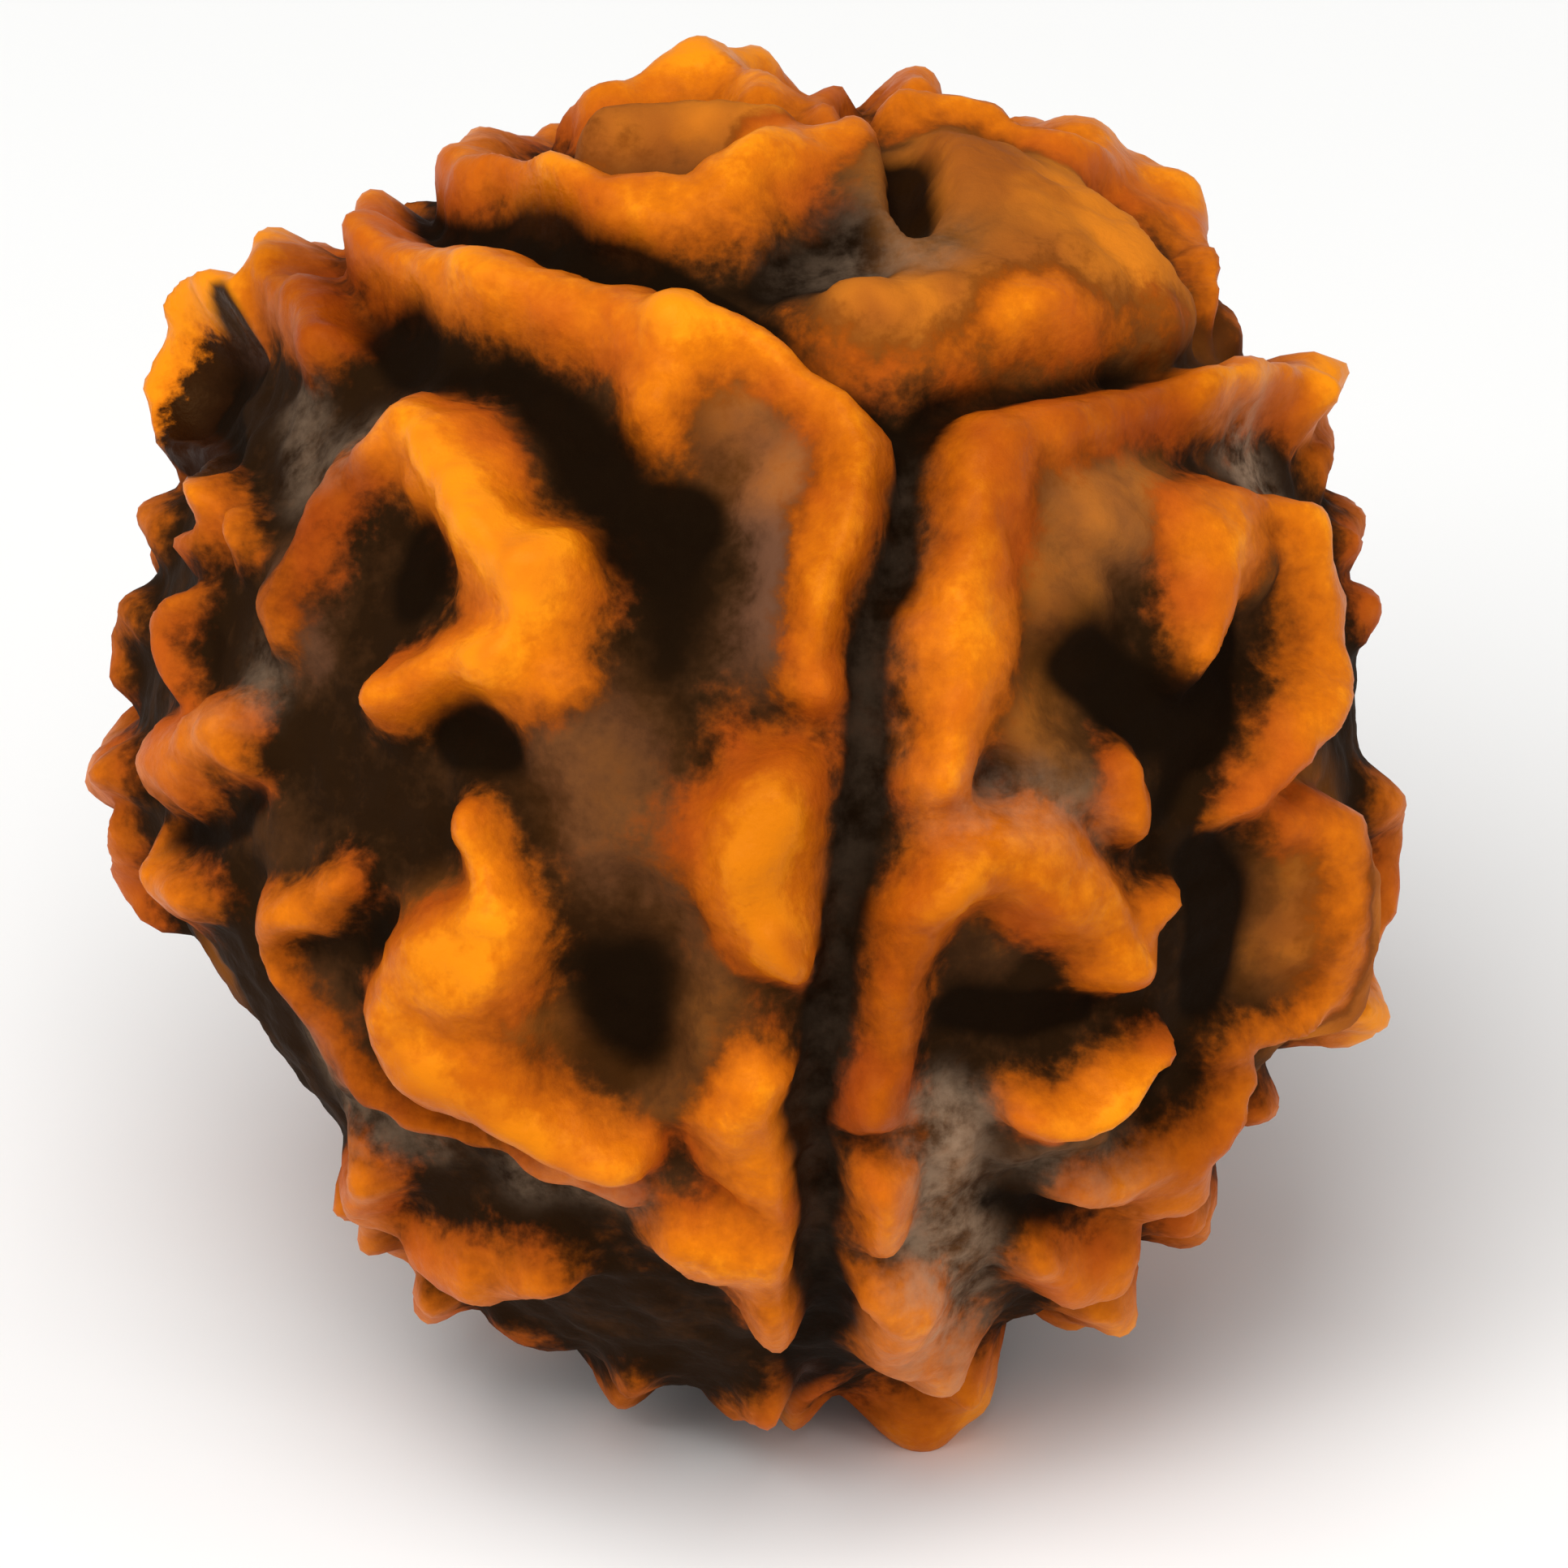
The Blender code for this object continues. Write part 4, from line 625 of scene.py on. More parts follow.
@dataclass
class Seam:
    """One seam, from the near pole over the front and on to the far pole."""

    points: tuple[Place, ...]
    phase: float
    far_steps: int = 12
    far_half_width: float = 0.36
    far_waver: float = 0.05
    far_bends: float = 7
    line: np.ndarray = field(init=False)
    widths: np.ndarray = field(init=False)
    first_far: int = field(init=False)

    def __post_init__(self) -> None:
        """Lays the near half by its points and the far half along a wandering arc."""
        near_pole = front_direction(*SEAM_POLE)
        line, widths = laid_line(((*SEAM_POLE, self.points[0][2]), *self.points), Written.FRONT)
        last, far_pole = line[-1], -near_pole
        sideways = unit(np.cross(last, far_pole))
        turn = math.acos(float(last @ far_pole))
        far_half = []
        for t in np.arange(1, self.far_steps + 1) / self.far_steps:
            on_arc = (math.sin((1 - t) * turn) * last + math.sin(t * turn) * far_pole) / math.sin(turn)
            waver = self.far_waver * math.sin(self.phase + self.far_bends * t) * math.sin(math.pi * t)
            far_half.append(unit(on_arc + sideways * waver))
        self.first_far = len(line) - 1
        self.line = np.vstack([line, far_half])
        widening = np.linspace(widths[-1], self.far_half_width, self.far_steps + 1)[1:]
        self.widths = np.append(widths, widening)


class FarSide:
    """Ridges of the far side, grown from a seed so that they keep clear of each other and of the seams."""

    # Where they start: least away part of the direction, number of seeds, their jitter, room in millimetres
    START_AWAY = 0.22
    SEEDS = 330
    JITTER = 0.05
    START_SPACING = 1.35
    START_SEAM_SPACING = 1.0

    # How they grow: room and stride in millimetres, and the range of each of a ridge's draws
    SPACING = 1.2
    SEAM_SPACING = 0.95
    STRIDE = 0.5
    LENGTHS = (1.0, 2.8)
    BENDS = (-0.9, 0.9)
    HALF_WIDTHS = (0.5, 0.85)
    HEIGHTS = (1.05, 1.5)
    ARM_WANDER = 0.25

    # A slanting direction that is crossed with a seed's own, to give the one that headings are counted from
    ASKEW = (0.3, 0.2, 0.9)

    # Lobes: how many of the seeds give one, its length, and how much wider its start is
    LOBE_SHARE = 0.25
    LOBE_LENGTH = 0.6
    LOBE_SWELL = 0.25

    # Lips of the seams: millimetres from the seam, half width and height
    LIP_OFFSETS = (1.0, 1.2)
    LIP_HALF_WIDTHS = (0.5, 0.65)
    LIP_HEIGHTS = (1.0, 1.4)

    # Fading towards the edge of the front view: height that is left there, where it starts, and its span
    LEFT_AT_EDGE = 0.3
    FADE_START = 0.12
    FADE_SPAN = 0.4

    def __init__(self, taken: list[np.ndarray], seams: list[Seam]) -> None:
        """Grows all the ridges.

        Args:
            taken: Lines that are there already.
            seams: The seams, whose far banks get broken lips.
        """
        self.rng = np.random.default_rng(FAR_SIDE_SEED)
        self.taken = np.vstack(taken)
        self.seams = np.vstack([seam.line for seam in seams])
        self.lines: list[tuple[np.ndarray, np.ndarray, np.ndarray]] = []
        for seam in seams:
            self.lay_lips(seam.line[seam.first_far:])
        for seed in self.spread_seeds():
            self.grow(seed)

    def room(self, place: np.ndarray, among: np.ndarray) -> float:
        """Distance from a place to the nearest of the points among, in millimetres."""
        return float(np.linalg.norm(among - place, axis=1).min()) * MEAN_RADIUS

    def spread_seeds(self) -> np.ndarray:
        """Spreads places evenly all round the body, and then jitters them.

        Returns:
            Their directions, one a row.
        """
        rank = np.arange(self.SEEDS) + 0.5
        up = 1 - 2 * rank / self.SEEDS
        turn = rank * math.pi * (3 - math.sqrt(5))
        flat = np.sqrt(1 - up**2)
        places = np.stack([flat * np.cos(turn), flat * np.sin(turn), up], axis=-1)
        return unit(places + self.rng.normal(0, self.JITTER, places.shape))

    def keep(self, line: np.ndarray | list, widths: np.ndarray | list, heights: np.ndarray | list) -> None:
        """Takes a line, with its height faded out towards the edge of the front view.

        Args:
            line: Directions along the line.
            widths: The half width at each of them.
            heights: The height at each of them.
        """
        line = np.array(line)
        grown = smooth((line[:, 1] - self.FADE_START) / self.FADE_SPAN)
        fade = self.LEFT_AT_EDGE + (1 - self.LEFT_AT_EDGE) * grown
        self.lines.append((line, np.asarray(widths), np.asarray(heights) * fade))
        self.taken = np.vstack([self.taken, line])

    def lay_lips(self, seam: np.ndarray) -> None:
        """Lays broken lips on both banks of a seam.

        Args:
            seam: Directions along the far half of the seam.
        """
        rng = self.rng
        for bank in (-1, 1):
            at = 1
            while at < len(seam) - 3:
                end = at + int(rng.integers(2, 5))
                stretch = seam[at : min(end, len(seam) - 1) + 1]
                sideways = unit(np.cross(stretch[0], stretch[-1])) * bank
                line = unit(stretch + sideways * rng.uniform(*self.LIP_OFFSETS) / MEAN_RADIUS)
                if line[:, 1].min() > self.START_AWAY:
                    count = len(line)
                    widths = rng.uniform(*self.LIP_HALF_WIDTHS, count)
                    self.keep(line, widths, rng.uniform(*self.LIP_HEIGHTS, count))
                at = end + int(rng.integers(0, 2))

    def grow(self, seed: np.ndarray) -> None:
        """Grows a lobe, or a ridge with two or three arms, where there is room for it.

        Args:
            seed: Direction of the place that it starts from.
        """
        rng = self.rng
        heading = rng.uniform(0, math.tau)
        is_lobe = rng.random() < self.LOBE_SHARE
        arms = int(rng.integers(2, 4))
        lengths = rng.uniform(*self.LENGTHS, 3)
        bends = rng.uniform(*self.BENDS, 3)
        widths = rng.uniform(*self.HALF_WIDTHS, 4)
        heights = rng.uniform(*self.HEIGHTS, 4)
        by_ridge = self.room(seed, self.taken) < self.START_SPACING
        by_seam = self.room(seed, self.seams) < self.START_SEAM_SPACING
        if seed[1] < self.START_AWAY or by_ridge or by_seam:
            return
        sideways = unit(np.cross(seed, self.ASKEW))
        before = self.taken
        if is_lobe:
            tip = unit(seed * MEAN_RADIUS + swing(sideways, seed, heading) * self.LOBE_LENGTH)
            self.keep([seed, tip], [widths[1] + self.LOBE_SWELL, widths[2]], [heights[0], heights[0]])
            return
        for arm in range(arms):
            line, gone = [seed], 0.0
            wander = rng.normal(0, self.ARM_WANDER)
            onward = swing(sideways, seed, heading + arm * math.tau / arms + wander)
            while gone < lengths[arm]:
                here = line[-1]
                onward = unit(onward - here * (here @ onward))
                step = unit(here * MEAN_RADIUS + onward * self.STRIDE)
                if self.room(step, before) < self.SPACING or self.room(step, self.seams) < self.SEAM_SPACING:
                    break
                line.append(step)
                onward = swing(onward, step, bends[arm] * self.STRIDE)
                gone += self.STRIDE
            if len(line) > 1:
                share = np.linspace(0, 1, len(line))
                self.keep(line, widths[3] + (widths[arm] - widths[3]) * share,
                          heights[3] + (heights[arm] - heights[3]) * share)


class Skin:
    """The stone's relief along unit directions of the front frame, with what its colour follows."""

    # Wavelengths of its noise, in millimetres
    SWELL_PITCH = 2.2
    RIPPLE_PITCH = 0.9
    WAVER_PITCH = 1.7
    UNEVEN_PITCH = 1.3

    # How much the half widths of lines waver, and how uneven their heights are
    WAVER = 0.1
    SWELL_ON_RIDGES = 0.08
    UNEVENNESS = 0.05

    # Height of the noise on open ground, and how much of it is lost on raised ground
    SWELL_HEIGHT = 0.1
    RIPPLE_HEIGHT = 0.045
    CALM_ON_RIDGES = 0.6

    # How much of a hollow is lost under a ridge, from which height of the ridge, and over which rise
    FILLED_BY_RIDGE = 0.75
    FILLED_FROM = 0.8
    FILLED_OVER = 0.7

    # How much of a hollow is lost where a seam runs through it
    FILLED_BY_SEAM = 0.5

    # Least share of straight down that counts where the ground limits the radius
    LEAST_DOWN = 0.05

    def __init__(self, directions: np.ndarray, coloured: bool = False) -> None:
        """Lays every ridge, shelf, hollow and seam.

        Args:
            directions: Where the relief is worked out.
            coloured: Whether the strengths of its stains and of its patches of painted shade are worked out
                too.
        """
        rng = np.random.default_rng(NOISE_SEED)
        points = directions * MEAN_RADIUS
        warp = np.zeros_like(points)
        for wavelength, amount in WARPS:
            warp += amount * np.stack([Waves(rng, wavelength).at(points) for _ in range(3)], axis=-1)
        warped = unit(points + warp)
        self.directions = directions
        self.swell = Waves(rng, self.SWELL_PITCH).at(points)
        self.ripple = Waves(rng, self.RIPPLE_PITCH).at(points)
        waver = 1 + self.WAVER * Waves(rng, self.WAVER_PITCH).at(points)
        roughness = self.UNEVENNESS * Waves(rng, self.UNEVEN_PITCH).at(points)
        uneven = 1 + self.SWELL_ON_RIDGES * self.swell + roughness

        ridges = Relief(warped, waver, crest, RIDGE_REACH, RIDGE_SPREAD)
        shelves = Relief(warped, waver, crest, SHELF_REACH, SHELF_SPREAD)
        hollows = Relief(warped, waver, dip, HOLLOW_REACH, HOLLOW_SPREAD)
        grooves = Relief(warped, waver, dip, HOLLOW_REACH, GROOVE_SPREAD)
        seams = [Seam(places, SEAM_PHASES[name]) for name, places in SEAMS.items()]
        taken = ridges.lay_table(RIDGES) + ridges.lay_table(EDGE_RIDGES, Written.EDGE)
        for line, widths, heights in FarSide(taken, seams).lines:
            ridges.lay(line, widths, heights)
        shelves.lay_table(SHELVES)
        hollows.lay_table(HOLLOWS)
        for seam in seams:
            grooves.lay(seam.line, seam.widths, 1.0)

        self.ridge = ridges.height() * uneven
        self.shelf = shelves.height()
        self.raised = (self.ridge**BLEND + shelves.total) ** (1 / BLEND)
        self.hollow = hollows.height()
        filled = self.FILLED_BY_RIDGE * smooth((self.ridge - self.FILLED_FROM) / self.FILLED_OVER)
        self.sunk = self.hollow * (1 - filled)
        self.seam = np.minimum(grooves.height(), 1)
        self.foot = np.zeros(len(directions))
        if coloured:
            tables = {"dust": DUST, "mauve": MAUVE, "rust": RUST, "brown": BROWN, "shade_patch": SHADE_PATCHES}
            self.stains_and_shade = {name: self.patches_of(warped, waver, table) for name, table in tables.items()}

    def patches_of(self, warped: np.ndarray, waver: np.ndarray, table: LineTable) -> np.ndarray:
        """Works out the strength of one table of patches at each direction; one of the tables is painted
        shade.

        Args:
            warped: The directions, bent as the relief's are.
            waver: How much narrower than written a patch is.
            table: Strength, then places, by name.

        Returns:
            Values from 0 to about 1.
        """
        relief = Relief(warped, waver, patch, PATCH_REACH, PATCH_SPREAD)
        relief.lay_table(table)
        return relief.height()

    def radius(self) -> np.ndarray:
        """Works out the radius, kept clear of the ground except at the feet, which are noted as crests too.

        Returns:
            One radius a direction, in millimetres.
        """
        raised = self.raised * (1 - self.seam)
        sunk = self.sunk * (1 - self.FILLED_BY_SEAM * self.seam) + SEAM_DEPTH * self.seam
        grain = self.SWELL_HEIGHT * self.swell + self.RIPPLE_HEIGHT * self.ripple
        grain = grain * (1 - self.CALM_ON_RIDGES * smooth(self.raised))
        bare = body_radius(self.directions)
        radius = bare + raised - sunk + grain

        down = -lean(self.directions, TILT_DEG)[:, 2]
        limit = (REST_DROP - GROUND_GAP) / np.maximum(down, self.LEAST_DOWN)
        radius = radius - np.logaddexp(0, JOIN * (radius - limit)) / JOIN
        for across, away, width in FEET:
            tip = lean(np.array((across, away, -REST_DROP - FOOT_EXCESS)), -TILT_DEG)
            reach = np.linalg.norm(tip)
            share = crest(np.linalg.norm(self.directions - tip / reach, axis=1) * MEAN_RADIUS / width)
            radius = np.logaddexp(JOIN * radius, JOIN * (bare + (reach - bare) * share)) / JOIN
            self.foot = np.maximum(self.foot, share)
        return radius


class Graph:
    """A material's node tree, with short ways to place and link its nodes."""

    def __init__(self, name: str) -> None:
        """Makes the material.

        Args:
            name: The material's name.
        """
        self.material = bpy.data.materials.new(name)
        self.material.use_nodes = True
        self.tree = self.material.node_tree
        self.shader = self.tree.nodes["Principled BSDF"]
        coordinates = self.tree.nodes.new("ShaderNodeTexCoord")
        self.place = coordinates.outputs["Object"]

    def put(self, target: Socket, value: object) -> None:
        """Links a socket to the target, or sets the target's own value.

        Args:
            target: An input socket.
            value: An output socket, a number or a colour.
        """
        if isinstance(value, Socket):
            self.tree.links.new(value, target)
        elif isinstance(value, tuple):
            target.default_value = (*value, 1.0)[: len(target.default_value)]
        else:
            target.default_value = value

    def attribute(self, name: str) -> Socket:
        """Reads one of the mesh's attributes.

        Args:
            name: The attribute's name.

        Returns:
            Its value.
        """
        node = self.tree.nodes.new("ShaderNodeAttribute")
        node.attribute_name = name
        return node.outputs["Fac"]

    def noise(self, pitch: float, detail: float, roughness: float = 0.5) -> Socket:
        """Noise of a given size on the object.

        Args:
            pitch: Size of its features, in millimetres.
            detail: How many finer layers it has.
            roughness: How strong the finer layers are.

        Returns:
            The noise, about 0.5 on average.
        """
        node = self.tree.nodes.new("ShaderNodeTexNoise")
        self.put(node.inputs["Vector"], self.place)
        node.inputs["Scale"].default_value = 1 / (pitch * MM)
        node.inputs["Detail"].default_value = detail
        node.inputs["Roughness"].default_value = roughness
        return node.outputs["Fac"]

    def cells(self, pitch: float) -> Socket:
        """Scatters points over the object.

        Args:
            pitch: Distance between neighbours, in millimetres.

        Returns:
            The distance to the nearest of them, as a share of the pitch.
        """
        node = self.tree.nodes.new("ShaderNodeTexVoronoi")
        self.put(node.inputs["Vector"], self.place)
        node.inputs["Scale"].default_value = 1 / (pitch * MM)
        return node.outputs["Distance"]

    def maths(self, operation: str, *values: object) -> Socket:
        """Arithmetic on sockets and numbers.

        Args:
            operation: Name of the Math node's operation.
            values: Its inputs, in order.

        Returns:
            The result.
        """
        node = self.tree.nodes.new("ShaderNodeMath")
        node.operation = operation
        for target, value in zip(node.inputs, values):
            self.put(target, value)
        return node.outputs[0]

    def step(self, value: object, low: float, high: float, bottom: float = 0.0, top: float = 1.0) -> Socket:
        """An easy step of a value.

        Args:
            value: What is stepped.
            low: Where the step starts.
            high: Where the step ends.
            bottom: The result below low.
            top: The result above high.

        Returns:
            The result, between bottom and top.
        """
        node = self.tree.nodes.new("ShaderNodeMapRange")
        node.interpolation_type = "SMOOTHSTEP"
        given = {"Value": value, "From Min": low, "From Max": high, "To Min": bottom, "To Max": top}
        for name, setting in given.items():
            self.put(node.inputs[name], setting)
        return node.outputs["Result"]

    def mix(self, share: object, first: object, second: object) -> Socket:
        """A colour between two colours.

        Args:
            share: How much of the second colour shows.
            first: A colour or a socket.
            second: A colour or a socket.

        Returns:
            The mixed colour.
        """
        node = self.tree.nodes.new("ShaderNodeMix")
        node.data_type = "RGBA"
        self.put(node.inputs["Factor"], share)
        colours = [socket for socket in node.inputs if socket.type == "RGBA"]
        for target, colour in zip(colours, (first, second)):
            self.put(target, colour)
        return next(socket for socket in node.outputs if socket.type == "RGBA")

    def tint(self, share: object, first: object, second: object) -> Socket:
        """A colour multiplied by a second one.

        Args:
            share: How much of the second colour is felt.
            first: A colour or a socket.
            second: A colour or a socket.

        Returns:
            The tinted colour.
        """
        tinted = self.mix(share, first, second)
        tinted.node.blend_type = "MULTIPLY"
        return tinted

    def ramp(self, value: object, stops: tuple[tuple[float, Colour], ...]) -> Socket:
        """A colour that runs through stops.

        Args:
            value: The place on the ramp.
            stops: Place and colour of each stop.

        Returns:
            The colour.
        """
        node = self.tree.nodes.new("ShaderNodeValToRGB")
        bar = node.color_ramp
        while len(bar.elements) < len(stops):
            bar.elements.new(1.0)
        for element, (place, colour) in zip(bar.elements, stops):
            element.position = place
            element.color = (*colour, 1.0)
        self.put(node.inputs["Fac"], value)
        return node.outputs["Color"]

    def bump(self, height: object, strength: float, depth: float) -> Socket:
        """A normal tipped by a height.

        Args:
            height: The height, as a share of the depth.
            strength: How much of it is felt.
            depth: In millimetres.

        Returns:
            The normal.
        """
        node = self.tree.nodes.new("ShaderNodeBump")
        node.inputs["Strength"].default_value = strength
        node.inputs["Distance"].default_value = depth * MM
        self.put(node.inputs["Height"], height)
        return node.outputs["Normal"]


@dataclass(frozen=True)
class OiledStone:
    """Oiled, handled stone: orange crests, brown floors, black hollows and seams, and pale dust; the ridges'
    darker sides and the black are partly painted shade.
    """

    name: str = "rudraksha_oiled"
    # Colour by height up a ridge: worn orange at the crest, darker down the sides to near black at the foot,
    # which is partly painted shade
    crest_stops: tuple[tuple[float, Colour], ...] = (
        (0.0, (0.010, 0.003, 0.001)),
        (0.14, (0.030, 0.008, 0.002)),
        (0.3, (0.13, 0.031, 0.003)),
        (0.46, (0.30, 0.064, 0.003)),
        (0.64, (0.48, 0.108, 0.003)),
        (0.82, (0.61, 0.150, 0.003)),
        (1.0, (0.81, 0.245, 0.005)),
    )
    shelf_stops: tuple[tuple[float, Colour], ...] = (
        (0.0, (0.013, 0.005, 0.0015)),
        (0.35, (0.050, 0.019, 0.006)),
        (0.65, (0.125, 0.045, 0.010)),
        (1.0, (0.270, 0.082, 0.011)),
    )
    rust_dark: Colour = (0.31, 0.080, 0.009)
    rust_light: Colour = (0.62, 0.180, 0.011)
    red_tint: Colour = (0.45, 0.075, 0.006)
    browned: Colour = (0.50, 0.36, 0.36)
    mauve: Colour = (0.125, 0.054, 0.030)
    dust: Colour = (0.42, 0.28, 0.18)
    # Black of the hollows and seams: painted shade, on top of the dark the real pits have
    black: Colour = (0.003, 0.0012, 0.0005)
    warm: Colour = (1.0, 0.55, 0.22)
    roughness_crest: float = 0.4
    roughness_floor: float = 0.85
    specular: float = 0.1

    # Sizes of its unevenness, in millimetres
    blotch_pitch: float = 2.2
    mottle_pitch: float = 1.2
    dust_pitch: float = 0.7
    speck_pitch: float = 0.5
    grain_pitch: float = 0.2
    swell_pitch: float = 0.6
    pore_pitch: float = 0.34
    scratch_pitch: float = 0.16
    pore_depth: float = 0.04

    # How much each stain, and the black of hollows and seams that is partly painted shade, cover at the most
    red_cover: float = 0.6
    mauve_cover: float = 0.8
    rust_cover: float = 0.95
    dust_cover: float = 0.42
    black_cover: float = 0.97

    def material(self) -> bpy.types.Material:
        """Builds the material from what the mesh's attributes say of the relief and its stains.

        Returns:
            The finished material.
        """
        g = Graph(self.name)
        mottle = g.maths("SUBTRACT", g.noise(self.mottle_pitch, 3.0, 0.55), 0.5)
        speck = g.maths("SUBTRACT", g.noise(self.speck_pitch, 3.0, 0.6), 0.5)
        grain = g.maths("SUBTRACT", g.noise(self.grain_pitch, 4.0, 0.65), 0.5)
        uneven = g.maths("MULTIPLY_ADD", speck, 0.4, g.maths("MULTIPLY", grain, 0.35))
        rise = g.maths("MULTIPLY_ADD", mottle, 0.45, g.attribute("crest"))
        rise = g.maths("ADD", rise, uneven)
        shelf = g.maths("MULTIPLY_ADD", mottle, 0.6, g.attribute("shelf"))
        shelf = g.maths("ADD", shelf, uneven)

        blotch = g.noise(self.blotch_pitch, 3.0)
        colour = g.mix(g.step(rise, 0.12, 0.45), self.floor(g, shelf, blotch), self.crests(g, rise, blotch))
        # Hollows, seams and the patches of painted shade are painted black
        colour = g.mix(self.pits_and_painted_shade(g, rise, mottle, speck), colour, self.black)
        patchy = g.step(g.noise(self.dust_pitch, 5.0, 0.65), 0.3, 0.7)
        dusty = g.maths("MULTIPLY", g.attribute("dust"), patchy)
        colour = g.mix(g.maths("MULTIPLY", dusty, self.dust_cover), colour, self.dust)
        g.put(g.shader.inputs["Base Color"], colour)

        rough = g.step(rise, 0.3, 0.8, self.roughness_floor, self.roughness_crest)
        g.put(g.shader.inputs["Roughness"], g.maths("MULTIPLY_ADD", grain, 0.2, rough))
        g.shader.inputs["Specular IOR Level"].default_value = self.specular
        g.shader.inputs["Specular Tint"].default_value = (*self.warm, 1.0)

        pores = g.step(g.cells(self.pore_pitch), 0.0, 0.35)
        height = g.maths("MULTIPLY_ADD", pores, 0.5, g.noise(self.scratch_pitch, 3.0, 0.6))
        height = g.maths("MULTIPLY_ADD", g.noise(self.swell_pitch, 3.0), 1.2, height)
        g.put(g.shader.inputs["Normal"], g.bump(height, 0.5, self.pore_depth))
        return g.material

    def floor(self, g: Graph, shelf: Socket, blotch: Socket) -> Socket:
        """Colours the ground between the ridges, with its mauve and rust stains.

        Args:
            g: The material's graph.
            shelf: How much the ground is raised.
            blotch: Noise that makes the rust light and dark.

        Returns:
            The colour.
        """
        on_ground = g.step(shelf, 0.1, 0.5, 0.0, self.mauve_cover)
        on_shelves = g.step(shelf, 0.1, 0.8, 0.3, self.rust_cover)
        colour = g.ramp(shelf, self.shelf_stops)
        colour = g.mix(g.maths("MULTIPLY", g.attribute("mauve"), on_ground), colour, self.mauve)
        rust = g.mix(g.step(blotch, 0.36, 0.66), self.rust_dark, self.rust_light)
        return g.mix(g.maths("MULTIPLY", g.attribute("rust"), on_shelves), colour, rust)

    def crests(self, g: Graph, rise: Socket, blotch: Socket) -> Socket:
        """Colours the ridges, darker down their sides as partly painted shade, redder in blotches and
        browner in listed patches.

        Args:
            g: The material's graph.
            rise: How high up a ridge the skin is.
            blotch: Noise that says where the ridges are redder.

        Returns:
            The colour.
        """
        colour = g.ramp(rise, self.crest_stops)
        colour = g.mix(g.step(blotch, 0.45, 0.7, 0.0, self.red_cover), colour, self.red_tint)
        return g.tint(g.attribute("brown"), colour, self.browned)

    def pits_and_painted_shade(self, g: Graph, rise: Socket, mottle: Socket, speck: Socket) -> Socket:
        """Finds where the skin is painted black: painted shade in the hollows, the shade patches and the
        seams' walls, with the dark the real pits have. Seams are fainter where the ground is rusty.

        Args:
            g: The material's graph.
            rise: How high up a ridge the skin is, which keeps the patches of painted shade off.
            mottle: Noise that breaks the edges of hollows.
            speck: Noise that breaks the edges of seams.

        Returns:
            The share of black, painted shade together with the pits' own dark.
        """
        # Patches of painted shade in the hollows and at the feet of the ridges, kept off the ridge tops
        shade_patch = g.maths("MULTIPLY", g.attribute("shade_patch"), g.step(rise, 0.5, 0.95, 1.0, 0.0))
        # Hollows are painted black, as shade and as the pits' own dark
        pit = g.maths("MULTIPLY_ADD", mottle, 0.2, g.maths("ADD", g.attribute("sunk"), shade_patch))
        pit = g.step(pit, 0.2, 0.9)
        # The seams' walls are painted black as shade, fainter where the ground is rusty
        crack = g.step(g.maths("MULTIPLY_ADD", speck, 0.25, g.attribute("seam")), 0.08, 0.55)
        crack = g.maths("MULTIPLY", crack, g.step(g.attribute("rust"), 0.0, 1.0, 1.0, 0.15))
        return g.maths("MULTIPLY", g.maths("MAXIMUM", pit, crack), self.black_cover)


@dataclass(frozen=True)
class PaleFloor:
    """Matt white board with the faintest cloudiness."""

    name: str = "pale_board"
    light: Colour = (0.88, 0.88, 0.87)
    dark: Colour = (0.84, 0.84, 0.83)
    roughness: float = 0.9
    cloud_pitch: float = 40.0
    tooth_pitch: float = 0.4
    tooth_depth: float = 0.02

    def material(self) -> bpy.types.Material:
        """Builds the material.

        Returns:
            The finished material.
        """
        g = Graph(self.name)
        cloud = g.noise(self.cloud_pitch, 2.0)
        g.put(g.shader.inputs["Base Color"], g.mix(cloud, self.dark, self.light))
        g.shader.inputs["Roughness"].default_value = self.roughness
        tooth = g.noise(self.tooth_pitch, 3.0)
        g.put(g.shader.inputs["Normal"], g.bump(tooth, 0.05, self.tooth_depth))
        return g.material


